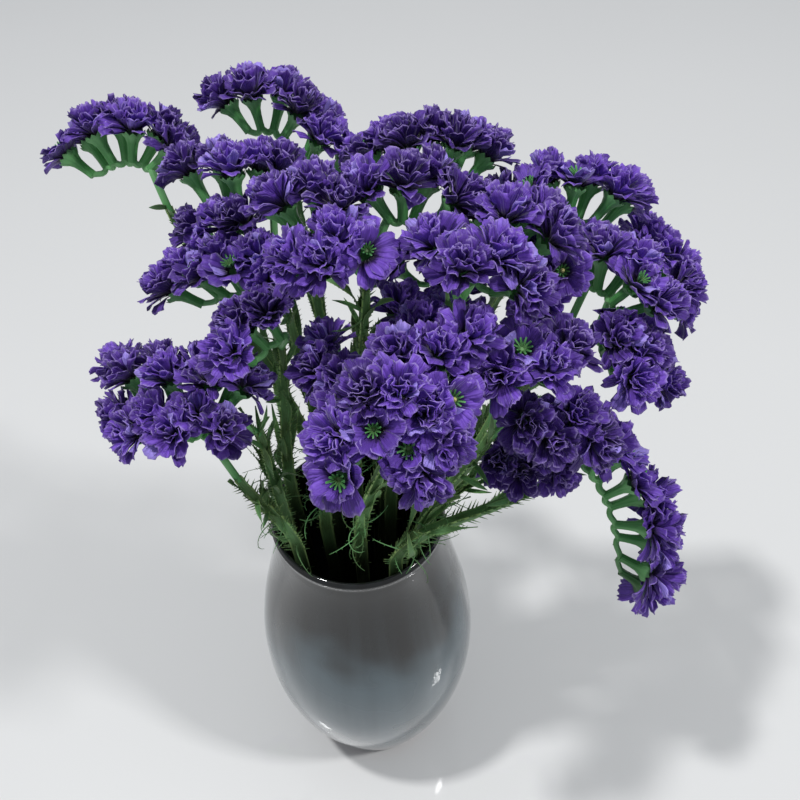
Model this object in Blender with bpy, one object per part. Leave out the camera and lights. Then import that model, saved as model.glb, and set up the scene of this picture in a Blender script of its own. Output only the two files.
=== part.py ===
"""A bunch of purple statice standing in a glazed vase.

Every stem is a winged, toothed stalk that leans out of the vase's mouth and forks into
one-sided sprays. A spray is a zigzag stalk with a row of green cups, and each cup holds a
ruffled purple bloom. The green parts of one stem are one solid, and so are the blooms of
one spray. The vase's base is centred on the origin, +Z is up and -Y faces the viewer.
"""

import math
import random

import bmesh
import bpy
from mathutils import Matrix, Vector

MM = 0.001
UP = Vector((0, 0, 1))
SHARP_ANGLE = math.radians(50)

# The gap that pieces keep to one another, in millimetres.
CLEARANCE = 0.35

# The vase, in millimetres.
VASE_HEIGHT = 200
BELLY_RADIUS = 55.5
BELLY_HEIGHT = 90
SHOULDER_FULLNESS = 1.15
RIM_RADIUS = 39.5
FOOT_RADIUS = 35
FOOT_ROUNDING = 2
WALL = 3.5
LIP = 2
FLOOR = 8
VASE_SIDES = 24
WALL_STEPS_BELOW_BELLY = 4
WALL_STEPS_ABOVE_BELLY = 5

# The winged stalk below the fork, in millimetres. It leaves the vase along its own slant
# and arrives at the fork bent a little upright, over these shares of the way.
STALK_CORE = 1.7
STALK_WING = 3.3
STALK_TAPER = 0.62
STALK_LEAVING = 0.34
STALK_ARRIVING = 0.30
STALK_UPRIGHT = 0.25
WINGS = 3
WING_TOOTH = 0.24
WING_TWIST = 0.8
RINGS_IN_VASE = 2
RINGS_ABOVE_VASE = 8

# How far below the fork a spray is rooted, and how much lower each further one is.
SPRAY_ROOT_DEPTH = 2.4
SPRAY_ROOT_STEP = 1.0

# The spray's zigzag stalk, the cups on it and the blooms in them, in millimetres.
RACHIS_WIDTH = 2.7
ZIGZAG = 1.2
CUP_LENGTH = 11.5
CUP_NECK_HEIGHT = 4
CUP_NECK = 1.15
CUP_MOUTH = 3.3
FACE_SQUARE = 0.8
FAN = 0.032
HALF_SPAN = 0.05

# A bloom's petals. Distances are shares of its radius and rises are shares of its depth.
PETALS = 5
BLOOM_RADIUS = 12.4
BLOOM_DEPTH = 12.8
BLOOM_BASE = 3.2
TIP_SPREADS = (0.95, 1.08)
TIP_RISES = (0.70, 0.90)
TIP_TWIST = 0.02
NOTCH_SPREAD = 0.68
NOTCH_RISE = 0.6
TUFT_SPREAD = 0.42
TUFT_RISES = (0.86, 1.04)
CENTRE_RISE = 0.72
HEART_RISE = 0.52

# How blooms make room: they press into their neighbours of the same spray by this much,
# and keep clear of round rods that stand for the stalks and cups, a little over true size.
PRESS = 1.8
LEAST_ROOM = 0.5
BLOOM_REACH = 1.12
STALK_ROD = 1.05
RACHIS_ROD = 0.72
CUP_ROD = 1.25

# A narrow leaf at the mouth of the vase, in millimetres.
LEAF_WIDTH = 5.0
LEAF_TIP_WIDTH = 0.6
LEAF_THICKNESS = 0.9
LEAF_STEPS = 4
LEAF_ROOT_SHARE = 0.1

# The finishes: colour, roughness and how metallic it looks.
GLAZE_FINISH = ((0.085, 0.095, 0.105), 0.12, 0.25)
GREEN_FINISH = ((0.075, 0.20, 0.055), 0.55, 0.0)
PURPLE_FINISH = ((0.12, 0.045, 0.42), 0.6, 0.0)

# Each stem: where it stands on the vase's floor and where it crosses the mouth, as
# (bearing in degrees from +X, distance from the axis), the point where it forks, and its
# sprays. A spray is the first, middle and last point of its flowering stalk, the bearing
# and rise in degrees that its blooms face, how many it has, and how far they lean aside.
# A leaf is its share of the way from the mouth to the fork, the bearing and rise that it
# grows to, its length, and how many degrees it curls down by.
STEMS = {
    "left_high": {
        "foot": (130, 21), "mouth": (128, 32), "fork": (-73, 74, 317),
        "sprays": [((-78, 84, 330), (-90, 88, 332), (-105, 90, 324), (100, 62), 7, 9)],
    },
    "top": {
        "foot": (103, 21), "mouth": (102, 32), "fork": (-20, 77, 324),
        "sprays": [
            ((-22, 87, 341), (-29, 89, 344), (-37, 88, 343), (120, 65), 4, 9),
            ((-15, 79, 336), (-12, 74, 334), (-7, 68, 331), (60, 60), 3, 8),
        ],
    },
    "upper_left": {
        "foot": (145, 10), "mouth": (135, 16), "fork": (-28, 46, 308),
        "sprays": [
            ((-28, 54, 332), (-38, 54, 332), (-52, 62, 328), (105, 65), 5, 10),
            ((-34, 46, 318), (-40, 46, 314), (-48, 52, 308), (190, 50), 4, 10),
        ],
    },
    "left_middle": {
        "foot": (158, 21), "mouth": (160, 32), "fork": (-26, 20, 290),
        "leaf": (0.10, 140, 45, 24, -40),
        "sprays": [
            ((-30, 24, 312), (-40, 28, 310), (-57, 35, 299), (165, 55), 7, 8),
            ((-24, 6, 306), (-28, 2, 304), (-34, -2, 302), (215, 40), 3, 8),
        ],
    },
    "left_low_back": {
        "foot": (185, 21), "mouth": (188, 32), "fork": (-36, -6, 266),
        "leaf": (0.12, 172, 40, 28, -50),
        "sprays": [
            ((-46, -6, 280), (-60, -2, 278), (-86, 10, 270), (115, 60), 8, 12),
        ],
    },
    "left_low_front": {
        "foot": (213, 21), "mouth": (215, 32), "fork": (-46, -17, 250),
        "leaf": (0.12, 215, 40, 22, -35),
        "sprays": [
            ((-55, -10, 269), (-64, -9, 268), (-79, -3, 262), (240, 66), 6, 10),
        ],
    },
    "centre_top": {
        "foot": (95, 11), "mouth": (92, 15), "fork": (10, 12, 330),
        "sprays": [
            ((-2, 14, 346), (-8, 16, 346), (-14, 18, 342), (130, 70), 4, 8),
            ((20, 16, 350), (26, 18, 350), (34, 18, 346), (60, 75), 4, 11),
            ((8, 4, 342), (2, 3, 341), (-4, 2, 338), (250, 60), 4, 9),
        ],
    },
    "back_right": {
        "foot": (78, 21), "mouth": (72, 32), "fork": (46, 48, 324),
        "sprays": [((48, 54, 338), (36, 52, 343), (21, 56, 338), (95, 70), 7, 9)],
    },
    "right_top": {
        "foot": (15, 10), "mouth": (25, 17), "fork": (44, 2, 326),
        "sprays": [
            ((55, 7, 342), (60, 6, 342), (66, 4, 339), (70, 72), 4, 9),
            ((40, -6, 342), (46, -8, 342), (54, -8, 338), (285, 65), 4, 10),
        ],
    },
    "right_back": {
        "foot": (52, 21), "mouth": (47, 32), "fork": (70, 42, 310),
        "sprays": [((76, 46, 324), (89, 48, 326), (104, 48, 320), (80, 65), 7, 12)],
    },
    "right_outer": {
        "foot": (28, 21), "mouth": (23, 32), "fork": (108, 42, 268),
        "sprays": [
            ((118, 52, 294), (124, 46, 290), (126, 40, 284), (10, 45), 5, 10),
            ((115, 28, 265), (117, 25, 264), (117, 21, 261), (-20, 35), 3, 9),
        ],
    },
    "right_inner": {
        "foot": (6, 21), "mouth": (2, 32), "fork": (86, 14, 292),
        "leaf": (0.10, 18, 35, 26, -40),
        "sprays": [
            ((96, 26, 310), (102, 20, 310), (106, 12, 306), (40, 65), 5, 11),
            ((100, 9, 293), (103, 4, 290), (105, -1, 286), (-50, 62), 4, 10),
            ((82, 18, 312), (80, 24, 320), (76, 30, 324), (200, 70), 4, 10),
        ],
    },
    "front_right": {
        "foot": (322, 21), "mouth": (322, 32), "fork": (56, -22, 280),
        "sprays": [
            ((56, -22, 310), (62, -22, 312), (72, -20, 310), (270, 60), 5, 9),
            ((66, -22, 284), (74, -20, 282), (84, -18, 278), (290, 40), 4, 10),
        ],
    },
    "front": {
        "foot": (265, 10), "mouth": (275, 17), "fork": (24, -30, 304),
        "leaf": (0.10, 250, 62, 20, -30),
        "sprays": [
            ((18, -43, 321), (13, -48, 316), (5, -55, 308), (250, 55), 5, 11),
            ((30, -41, 317), (28, -45, 312), (24, -50, 305), (290, 50), 5, 11),
            ((28, -28, 320), (34, -26, 322), (40, -26, 322), (270, 70), 3, 9),
        ],
    },
    "right_low": {
        "foot": (300, 21), "mouth": (302, 32), "fork": (84, -16, 240),
        "leaf": (0.08, 285, 45, 22, -35),
        "sprays": [((94, -15, 251), (108, -24, 230), (115, -36, 197), (0, 25), 9, 7)],
    },
    "centre_low": {
        "foot": (205, 10), "mouth": (210, 16), "fork": (-9, -4, 268),
        "sprays": [((-1, 3, 286), (1, -4, 287), (5, -12, 285), (250, 50), 4, 8)],
    },
    "right_shade": {
        "foot": (344, 21), "mouth": (342, 32), "fork": (54, -8, 238),
        "sprays": [((63, -10, 248), (69, -9, 249), (76, -8, 248), (285, 40), 4, 8)],
    },
    "shade_back": {
        "foot": (0, 0), "mouth": (52, 22), "fork": (39, 23, 276),
        "sprays": [
            ((42, 14, 290), (34, 12, 292), (24, 14, 294), (180, 70), 4, 9),
            ((40, 38, 300), (35, 40, 301), (30, 43, 299), (240, 74), 3, 8),
        ],
    },
}


def mesh_object(name, material, build, collection=None):
    """A new object whose mesh is filled by build(bm), with outward normals."""
    mesh = bpy.data.meshes.new(name)
    bm = bmesh.new()
    build(bm)
    bmesh.ops.recalc_face_normals(bm, faces=bm.faces)
    bm.to_mesh(mesh)
    bm.free()
    if material:
        mesh.materials.append(material)
    obj = bpy.data.objects.new(name, mesh)
    (collection or bpy.context.scene.collection).objects.link(obj)
    return obj


def finish_material(name, colour, roughness, metallic):
    material = bpy.data.materials.new(name)
    material.use_nodes = True
    shader = material.node_tree.nodes["Principled BSDF"]
    shader.inputs["Base Color"].default_value = (*colour, 1)
    shader.inputs["Roughness"].default_value = roughness
    shader.inputs["Metallic"].default_value = metallic
    return material


def smooth(obj):
    """Rounds the shading, but keeps the sharp edges crisp."""
    obj.data.shade_smooth()
    obj.data.set_sharp_from_angle(angle=SHARP_ANGLE)


def on_circle(bearing, distance, height):
    angle = math.radians(bearing)
    return Vector((distance * math.cos(angle), distance * math.sin(angle), height))


def facing(bearing, rise):
    angle = math.radians(rise)
    return on_circle(bearing, math.cos(angle), math.sin(angle))


def bezier(points, t):
    """The point at t on the Bezier curve of any number of control points."""
    while len(points) > 1:
        points = [a.lerp(b, t) for a, b in zip(points, points[1:])]
    return points[0]


def stalk_line(stem):
    """The stalk's centre line: straight in the vase, then a curve out to the fork."""
    foot = on_circle(*stem["foot"], FLOOR + CLEARANCE)
    mouth = on_circle(*stem["mouth"], VASE_HEIGHT)
    slant = (mouth - foot).normalized()
    foot.z += STALK_WING * math.hypot(slant.x, slant.y)
    fork = Vector(stem["fork"])
    inside = [foot.lerp(mouth, i / RINGS_IN_VASE) for i in range(RINGS_IN_VASE)]
    reach = (fork - mouth).length
    leaving = mouth + (mouth - foot).normalized() * reach * STALK_LEAVING
    last_aim = (fork - mouth).normalized().lerp(UP, STALK_UPRIGHT).normalized()
    arriving = fork - last_aim * reach * STALK_ARRIVING
    outside = [
        bezier([mouth, leaving, arriving, fork], i / RINGS_ABOVE_VASE)
        for i in range(RINGS_ABOVE_VASE + 1)
    ]
    return inside + outside


def across(direction, hint=UP):
    """Two unit vectors square to direction and to each other."""
    side = direction.cross(hint)
    if side.length < 1e-3:
        side = direction.cross(Vector((0, 1, 0)))
    side.normalize()
    return side, side.cross(direction).normalized()


def tangents(line):
    ends = zip([line[0], *line[:-1]], [*line[1:], line[-1]])
    return [(after - before).normalized() for before, after in ends]


def spray_cups(spray):
    """Each cup of a spray as (root on its stalk, direction), root to tip.

    The cups all look the way the spray faces, squared to its stalk, but fan out towards
    its ends and lean by turns to one side and the other.
    """
    first, middle, last, face, count, lean = spray
    first, middle, last = Vector(first), Vector(middle), Vector(last)
    curve = [first, middle * 2 - (first + last) / 2, last]
    length = (last - first).length
    front = facing(*face)
    cups = []
    for i in range(count):
        t = i / (count - 1)
        before, after = bezier(curve, max(t - HALF_SPAN, 0)), bezier(curve, min(t + HALF_SPAN, 1))
        along = (after - before).normalized()
        outward = (front - along * front.dot(along) * FACE_SQUARE).normalized()
        outward = (outward + along * FAN * length * (t - 0.5)).normalized()
        swing = math.radians(lean) * (1 if i % 2 else -1)
        outward = Matrix.Rotation(swing, 3, along) @ outward
        side = along.cross(outward).normalized()
        cups.append((bezier(curve, t) + side * ZIGZAG * (1 if i % 2 else -1), outward))
    return cups


def skin(bm, rings):
    """Joins rings of equal count into a closed tube, with a fan over each end."""
    loops = [[bm.verts.new(p * MM) for p in ring] for ring in rings]
    count = len(loops[0])
    for low, high in zip(loops, loops[1:]):
        for i in range(count):
            j = (i + 1) % count
            bm.faces.new((low[i], low[j], high[j], high[i]))
    bm.faces.new(reversed(loops[0]))
    bm.faces.new(loops[-1])


def winged_stalk(bm, line):
    """A three-winged stalk whose wing edges step in and out as blunt teeth."""
    aims = tangents(line)
    side, other = across(aims[0], Vector((1, 0, 0)))
    rings = []
    for i, (centre, aim) in enumerate(zip(line, aims)):
        side = (side - aim * side.dot(aim)).normalized()
        other = aim.cross(side)
        share = max(0, i - RINGS_IN_VASE) / RINGS_ABOVE_VASE
        size = 1 + (STALK_TAPER - 1) * share
        tooth = 1 + WING_TOOTH * (1 if i % 2 else -1) * (i > RINGS_IN_VASE)
        ring = []
        for k in range(2 * WINGS):
            turn = math.pi * k / WINGS + share * WING_TWIST
            radius = (STALK_CORE if k % 2 else STALK_WING * tooth) * size
            ring.append(centre + (side * math.cos(turn) + other * math.sin(turn)) * radius)
        rings.append(ring)
    skin(bm, rings)


def flowering_stalk(bm, start, spray):
    """A square stalk from start whose front face grows a funnel cup at every bloom."""
    cups = spray_cups(spray)
    roots = [root for root, _ in cups]
    first, last = roots[0] * 1.5 - roots[1] * 0.5, roots[-1] * 1.5 - roots[-2] * 0.5
    between = [a.lerp(b, 0.5) for a, b in zip(roots, roots[1:])]
    stations = [Vector(start), first, *between, last]
    fronts = [cups[0][1], cups[0][1]]
    fronts += [(a[1] + b[1]) / 2 for a, b in zip(cups, cups[1:])] + [cups[-1][1]]
    rings = []
    for centre, along, front in zip(stations, tangents(stations), fronts):
        side = along.cross(front).normalized() * RACHIS_WIDTH / 2
        front = side.cross(along).normalized() * RACHIS_WIDTH / 2
        rings.append([
            bm.verts.new((centre + shift) * MM)
            for shift in (front + side, side - front, -front - side, front - side)
        ])
    bm.faces.new(rings[0])
    bm.faces.new(reversed(rings[-1]))
    for i, (low, high) in enumerate(zip(rings, rings[1:])):
        for k in range(3):
            bm.faces.new((low[k], low[k + 1], high[k + 1], high[k]))
        hem = [low[3], low[0], high[0], high[3]]
        if i:
            root, outward = cups[i - 1]
            along = (stations[i + 1] - stations[i]).normalized()
            side = along.cross(outward).normalized()
            along = outward.cross(side)
            for height, size in ((CUP_NECK_HEIGHT, CUP_NECK), (CUP_LENGTH, CUP_MOUTH)):
                middle = root + outward * height
                ring = [
                    bm.verts.new((middle + side * a * size + along * b * size) * MM)
                    for a, b in ((-1, -1), (1, -1), (1, 1), (-1, 1))
                ]
                for k in range(4):
                    n = (k + 1) % 4
                    bm.faces.new((hem[k], hem[n], ring[n], ring[k]))
                hem = ring
        bm.faces.new(hem)


def leaf(bm, root, aim, length, curl):
    """A narrow toothed leaf that tapers to a point and curls along its length."""
    side, _ = across(aim)
    rings = []
    for i in range(LEAF_STEPS + 1):
        share = i / LEAF_STEPS
        turn = Matrix.Rotation(-math.radians(curl) * share * share, 3, side)
        centre = root + turn @ aim * length * share
        normal = side.cross(turn @ aim).normalized()
        swell = math.sin(math.pi * (LEAF_ROOT_SHARE + (1 - LEAF_ROOT_SHARE) * share))
        width = (LEAF_WIDTH * swell + LEAF_TIP_WIDTH) / 2
        thick = normal * LEAF_THICKNESS / 2
        rings.append([
            centre - side * width, centre - thick, centre + side * width, centre + thick,
        ])
    skin(bm, rings)


class Obstacle:
    """A straight rod with round ends that blooms keep clear of."""

    def __init__(self, start, end, radius, owner):
        self.start, self.end, self.radius, self.owner = start, end, radius, owner

    def nearest(self, point):
        run = self.end - self.start
        share = (point - self.start).dot(run) / max(run.length_squared, 1e-9)
        return self.start + run * min(max(share, 0), 1)


def walls_round(bloom, blooms, obstacles):
    """The planes that keep a bloom off its neighbours: (point, outward normal) each."""
    walls = []
    reach = BLOOM_RADIUS * BLOOM_REACH
    heart, spray, key = bloom["heart"], bloom["spray"], bloom["key"]
    for other in blooms:
        gap = other["heart"] - heart
        if other is bloom or gap.length > 2 * reach:
            continue
        normal = gap.normalized()
        overlap = PRESS if other["spray"] == spray else -CLEARANCE / 2
        walls.append((heart + gap / 2 + normal * overlap, normal))
    for rod in obstacles:
        touch = rod.nearest(heart)
        gap = touch - heart
        if rod.owner == key or gap.length > reach + rod.radius:
            continue
        normal = gap.normalized()
        walls.append((touch - normal * (rod.radius + CLEARANCE), normal))
    return walls


def pressed(point, heart, walls):
    """The point drawn in towards the heart until it is inside every wall."""
    share = 1.0
    for spot, normal in walls:
        depth = (point - heart).dot(normal)
        room = (spot - heart).dot(normal)
        if depth > LEAST_ROOM and depth * share > room:
            share = max(room, LEAST_ROOM) / depth
    return heart + (point - heart) * share


def bloom_mesh(bm, bloom, walls, chance):
    """A ruffled bloom: an outer ring of notched petals, a valley, and an inner tuft."""
    outward, base = bloom["outward"], bloom["base"]
    side, other = across(outward, Vector((0.2, 0.4, 1)))
    start = chance.uniform(0, math.tau)

    def at(turn, spread, rise):
        aside = side * math.cos(turn + start) + other * math.sin(turn + start)
        point = base + aside * spread * BLOOM_RADIUS + outward * rise * BLOOM_DEPTH
        return bm.verts.new(pressed(point, bloom["heart"], walls) * MM)

    step = math.tau / PETALS
    foot = [at(step * k, BLOOM_BASE / BLOOM_RADIUS, 0) for k in range(PETALS)]
    rim, tuft = [], []
    for k in range(PETALS):
        rise = chance.uniform(*TIP_RISES)
        rim.append(at(step * (k + TIP_TWIST), chance.uniform(*TIP_SPREADS), rise))
        rim.append(at(step * (k + 0.5), NOTCH_SPREAD, NOTCH_RISE))
        tuft.append(at(step * k, TUFT_SPREAD, TUFT_RISES[k % 2]))
    centre = at(0, 0, CENTRE_RISE)
    bm.faces.new(reversed(foot))
    for k in range(PETALS):
        n = (k + 1) % PETALS
        tip, notch, tip_next = rim[2 * k], rim[2 * k + 1], rim[2 * n]
        bm.faces.new((foot[k], foot[n], notch))
        bm.faces.new((foot[k], notch, tip))
        bm.faces.new((foot[n], tip_next, notch))
        bm.faces.new((notch, tuft[k], tip))
        bm.faces.new((notch, tuft[n], tuft[k]))
        bm.faces.new((notch, tip_next, tuft[n]))
        bm.faces.new((tuft[k], tuft[n], centre))


def fuse(name, material, builders):
    """One solid from many closed shapes, by a union of their collection."""
    shapes = bpy.data.collections.new(name + "_shapes")
    bpy.context.scene.collection.children.link(shapes)
    first = mesh_object(name, material, builders[0])
    for build in builders[1:]:
        mesh_object(name + "_piece", material, build, shapes)
    if builders[1:]:
        union = first.modifiers.new("union", "BOOLEAN")
        union.operation = "UNION"
        union.operand_type = "COLLECTION"
        union.collection = shapes
        union.solver = "EXACT"
        bpy.context.view_layer.update()
        graph = bpy.context.evaluated_depsgraph_get()
        joined = bpy.data.meshes.new_from_object(first.evaluated_get(graph))
        first.modifiers.clear()
        first.data = joined
    for piece in list(shapes.objects):
        bpy.data.objects.remove(piece)
    bpy.data.collections.remove(shapes)
    smooth(first)


def vase_profile():
    """The vase's half section as (radius, height), up the outside and down the inside."""
    outside = [(FOOT_RADIUS - FOOT_ROUNDING, 0), (FOOT_RADIUS, FOOT_ROUNDING)]
    for i in range(1, WALL_STEPS_BELOW_BELLY + 1):
        share = i / WALL_STEPS_BELOW_BELLY
        bulge = math.sin(share * math.pi / 2)
        height = FOOT_ROUNDING + (BELLY_HEIGHT - FOOT_ROUNDING) * share
        outside.append((FOOT_RADIUS + (BELLY_RADIUS - FOOT_RADIUS) * bulge, height))
    for i in range(1, WALL_STEPS_ABOVE_BELLY + 1):
        share = i / WALL_STEPS_ABOVE_BELLY
        drop = (1 - math.cos(math.pi * share ** SHOULDER_FULLNESS)) / 2
        height = BELLY_HEIGHT + (VASE_HEIGHT - BELLY_HEIGHT) * share
        outside.append((BELLY_RADIUS - (BELLY_RADIUS - RIM_RADIUS) * drop, height))
    inside = [(radius - WALL, height) for radius, height in reversed(outside[3:-1])][::2]
    return outside, [(RIM_RADIUS - LIP, VASE_HEIGHT)] + inside + [(FOOT_RADIUS - WALL, FLOOR)]


def vase(bm):
    outside, inside = vase_profile()
    section = [bm.verts.new((radius * MM, 0, height * MM)) for radius, height in outside + inside]
    edges = [bm.edges.new(pair) for pair in zip(section, section[1:])]
    bmesh.ops.spin(
        bm, geom=section + edges, cent=(0, 0, 0), axis=(0, 0, 1), angle=math.tau,
        steps=VASE_SIDES, use_merge=True, use_duplicate=False,
    )
    bmesh.ops.remove_doubles(bm, verts=bm.verts, dist=1e-6)
    bmesh.ops.holes_fill(bm, edges=[e for e in bm.edges if e.is_boundary], sides=0)


def main():
    for obj in list(bpy.data.objects):
        bpy.data.objects.remove(obj)
    glaze = finish_material("glaze", *GLAZE_FINISH)
    green = finish_material("stalk_green", *GREEN_FINISH)
    purple = finish_material("petal_purple", *PURPLE_FINISH)

    smooth(mesh_object("vase", glaze, vase))

    blooms, obstacles = [], []
    for name, stem in STEMS.items():
        line = stalk_line(stem)
        for start, end in zip(line, line[1:]):
            obstacles.append(Obstacle(start, end, STALK_WING * STALK_ROD, name))
        for number, spray in enumerate(stem["sprays"]):
            cups = spray_cups(spray)
            route = [Vector(stem["fork"])] + [root for root, _ in cups]
            for start, end in zip(route, route[1:]):
                obstacles.append(Obstacle(start, end, RACHIS_WIDTH * RACHIS_ROD, name))
            for place, (root, outward) in enumerate(cups):
                base = root + outward * (CUP_LENGTH + CLEARANCE)
                key = (name, number, place)
                top = root + outward * (CUP_LENGTH - CUP_MOUTH)
                obstacles.append(Obstacle(root, top, CUP_MOUTH * CUP_ROD, key))
                blooms.append({
                    "key": key, "spray": (name, number), "base": base, "outward": outward,
                    "heart": base + outward * BLOOM_DEPTH * HEART_RISE,
                })

    for name, stem in STEMS.items():
        line = stalk_line(stem)
        shapes = [lambda bm, line=line: winged_stalk(bm, line)]
        if "leaf" in stem:
            share, bearing, rise, length, curl = stem["leaf"]
            root = line[RINGS_IN_VASE].lerp(line[-1], share)
            shapes.append(lambda bm, root=root, aim=facing(bearing, rise), length=length,
                          curl=curl: leaf(bm, root, aim, length, curl))
        for number, spray in enumerate(stem["sprays"]):
            depth = SPRAY_ROOT_DEPTH + SPRAY_ROOT_STEP * number
            start = line[-1] - (line[-1] - line[-2]).normalized() * depth
            shapes.append(lambda bm, start=start, spray=spray: flowering_stalk(bm, start, spray))
        fuse("stem_" + name, green, shapes)

    chance = random.Random(7)
    for name, stem in STEMS.items():
        for number in range(len(stem["sprays"])):
            shapes = []
            for bloom in blooms:
                if bloom["spray"] == (name, number):
                    walls = walls_round(bloom, blooms, obstacles)
                    seed = chance.randrange(10**6)
                    shapes.append(
                        lambda bm, b=bloom, w=walls, s=seed: bloom_mesh(bm, b, w, random.Random(s))
                    )
            fuse("blooms_{}_{}".format(name, "abc"[number]), purple, shapes)


main()
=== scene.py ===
# %% [markdown]
# # A bunch of statice in a glazed vase
#
# Statice grows winged green stalks that fork into one-sided sprays. Along each spray sits a
# row of green cups, and every cup holds a papery purple bloom that keeps its colour when it
# dries. The solids of the bunch are already packed, with every stem and bloom in its place.
# This lesson dresses them: it grows toothed wings, cups and ruffled petals along the same
# lines, turns the vase finely, and then sets up the camera and a soft light.
#
# The first step loads the solids.

# %% Load the solids
import math
import random

import bmesh
import bpy
from mathutils import Matrix, Vector, noise


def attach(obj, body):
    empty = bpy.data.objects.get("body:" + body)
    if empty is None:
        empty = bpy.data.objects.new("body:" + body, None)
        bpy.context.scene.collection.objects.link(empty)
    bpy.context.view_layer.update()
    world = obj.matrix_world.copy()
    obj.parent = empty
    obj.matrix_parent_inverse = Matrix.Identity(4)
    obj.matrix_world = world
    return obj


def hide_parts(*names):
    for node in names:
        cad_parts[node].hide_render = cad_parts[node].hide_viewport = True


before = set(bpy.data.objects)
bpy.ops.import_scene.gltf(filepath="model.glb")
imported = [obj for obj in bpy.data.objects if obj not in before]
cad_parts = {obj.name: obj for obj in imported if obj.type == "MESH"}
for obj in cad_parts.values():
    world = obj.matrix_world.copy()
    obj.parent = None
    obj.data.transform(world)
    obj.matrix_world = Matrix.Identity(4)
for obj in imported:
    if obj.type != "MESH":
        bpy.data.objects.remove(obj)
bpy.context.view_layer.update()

MM = 0.001
UP = Vector((0, 0, 1))
print("solids:", len(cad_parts))

# %% [markdown]
# ## Camera
#
# The bunch is seen from above its front, the way one looks down on a vase from close by. A
# camera could be aimed with a constraint, but four plain values say the same and never
# change: where it stands, how far it pitches down, how much it rolls and its focal length.
# Its three axes are worked out from those angles and written into its matrix.

# %% Aim the camera
CAMERA_PLACE = Vector((0.0211, -0.2390, 0.540))
CAMERA_PITCH = math.radians(48)
CAMERA_ROLL = math.radians(-1.9)
FOCAL_LENGTH = 40.5
SENSOR_WIDTH = 36


def aimed(place, pitch, roll):
    """The matrix of a camera at place that looks along +Y, pitched down and rolled."""
    ahead = Vector((0, math.cos(pitch), -math.sin(pitch)))
    level = Vector((1, 0, 0))
    right = level * math.cos(roll) + level.cross(ahead) * math.sin(roll)
    above = right.cross(ahead)
    axes = Matrix((right, above, -ahead)).transposed().to_4x4()
    return Matrix.Translation(place) @ axes


lens = bpy.data.cameras.new("camera")
lens.lens = FOCAL_LENGTH
lens.sensor_width = SENSOR_WIDTH
camera = bpy.data.objects.new("camera", lens)
camera.matrix_world = aimed(CAMERA_PLACE, CAMERA_PITCH, CAMERA_ROLL)
bpy.context.scene.collection.objects.link(camera)
bpy.context.scene.camera = camera
print("camera at", tuple(camera.location))

# %% [markdown]
# ## Measures of the bunch
#
# These are the measures that the solids were built from, in millimetres. The dressed pieces
# use the same ones, so that they lie where the solids lie.

# %% Name the measures
CLEARANCE = 0.35
VASE_HEIGHT = 200
FLOOR = 8
STALK_CORE = 1.7
STALK_WING = 3.3
STALK_TAPER = 0.62
STALK_LEAVING = 0.34
STALK_ARRIVING = 0.30
STALK_UPRIGHT = 0.25
WINGS = 3
WING_TWIST = 0.8
SPRAY_ROOT_DEPTH = 2.4
SPRAY_ROOT_STEP = 1.0
RACHIS_WIDTH = 2.7
ZIGZAG = 1.2
CUP_LENGTH = 11.5
CUP_MOUTH = 3.3
FACE_SQUARE = 0.8
FAN = 0.032
HALF_SPAN = 0.05
BLOOM_RADIUS = 12.4
BLOOM_DEPTH = 12.8
HEART_RISE = 0.52
print("a bloom is", 2 * BLOOM_RADIUS, "mm across and", BLOOM_DEPTH, "mm deep")
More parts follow.
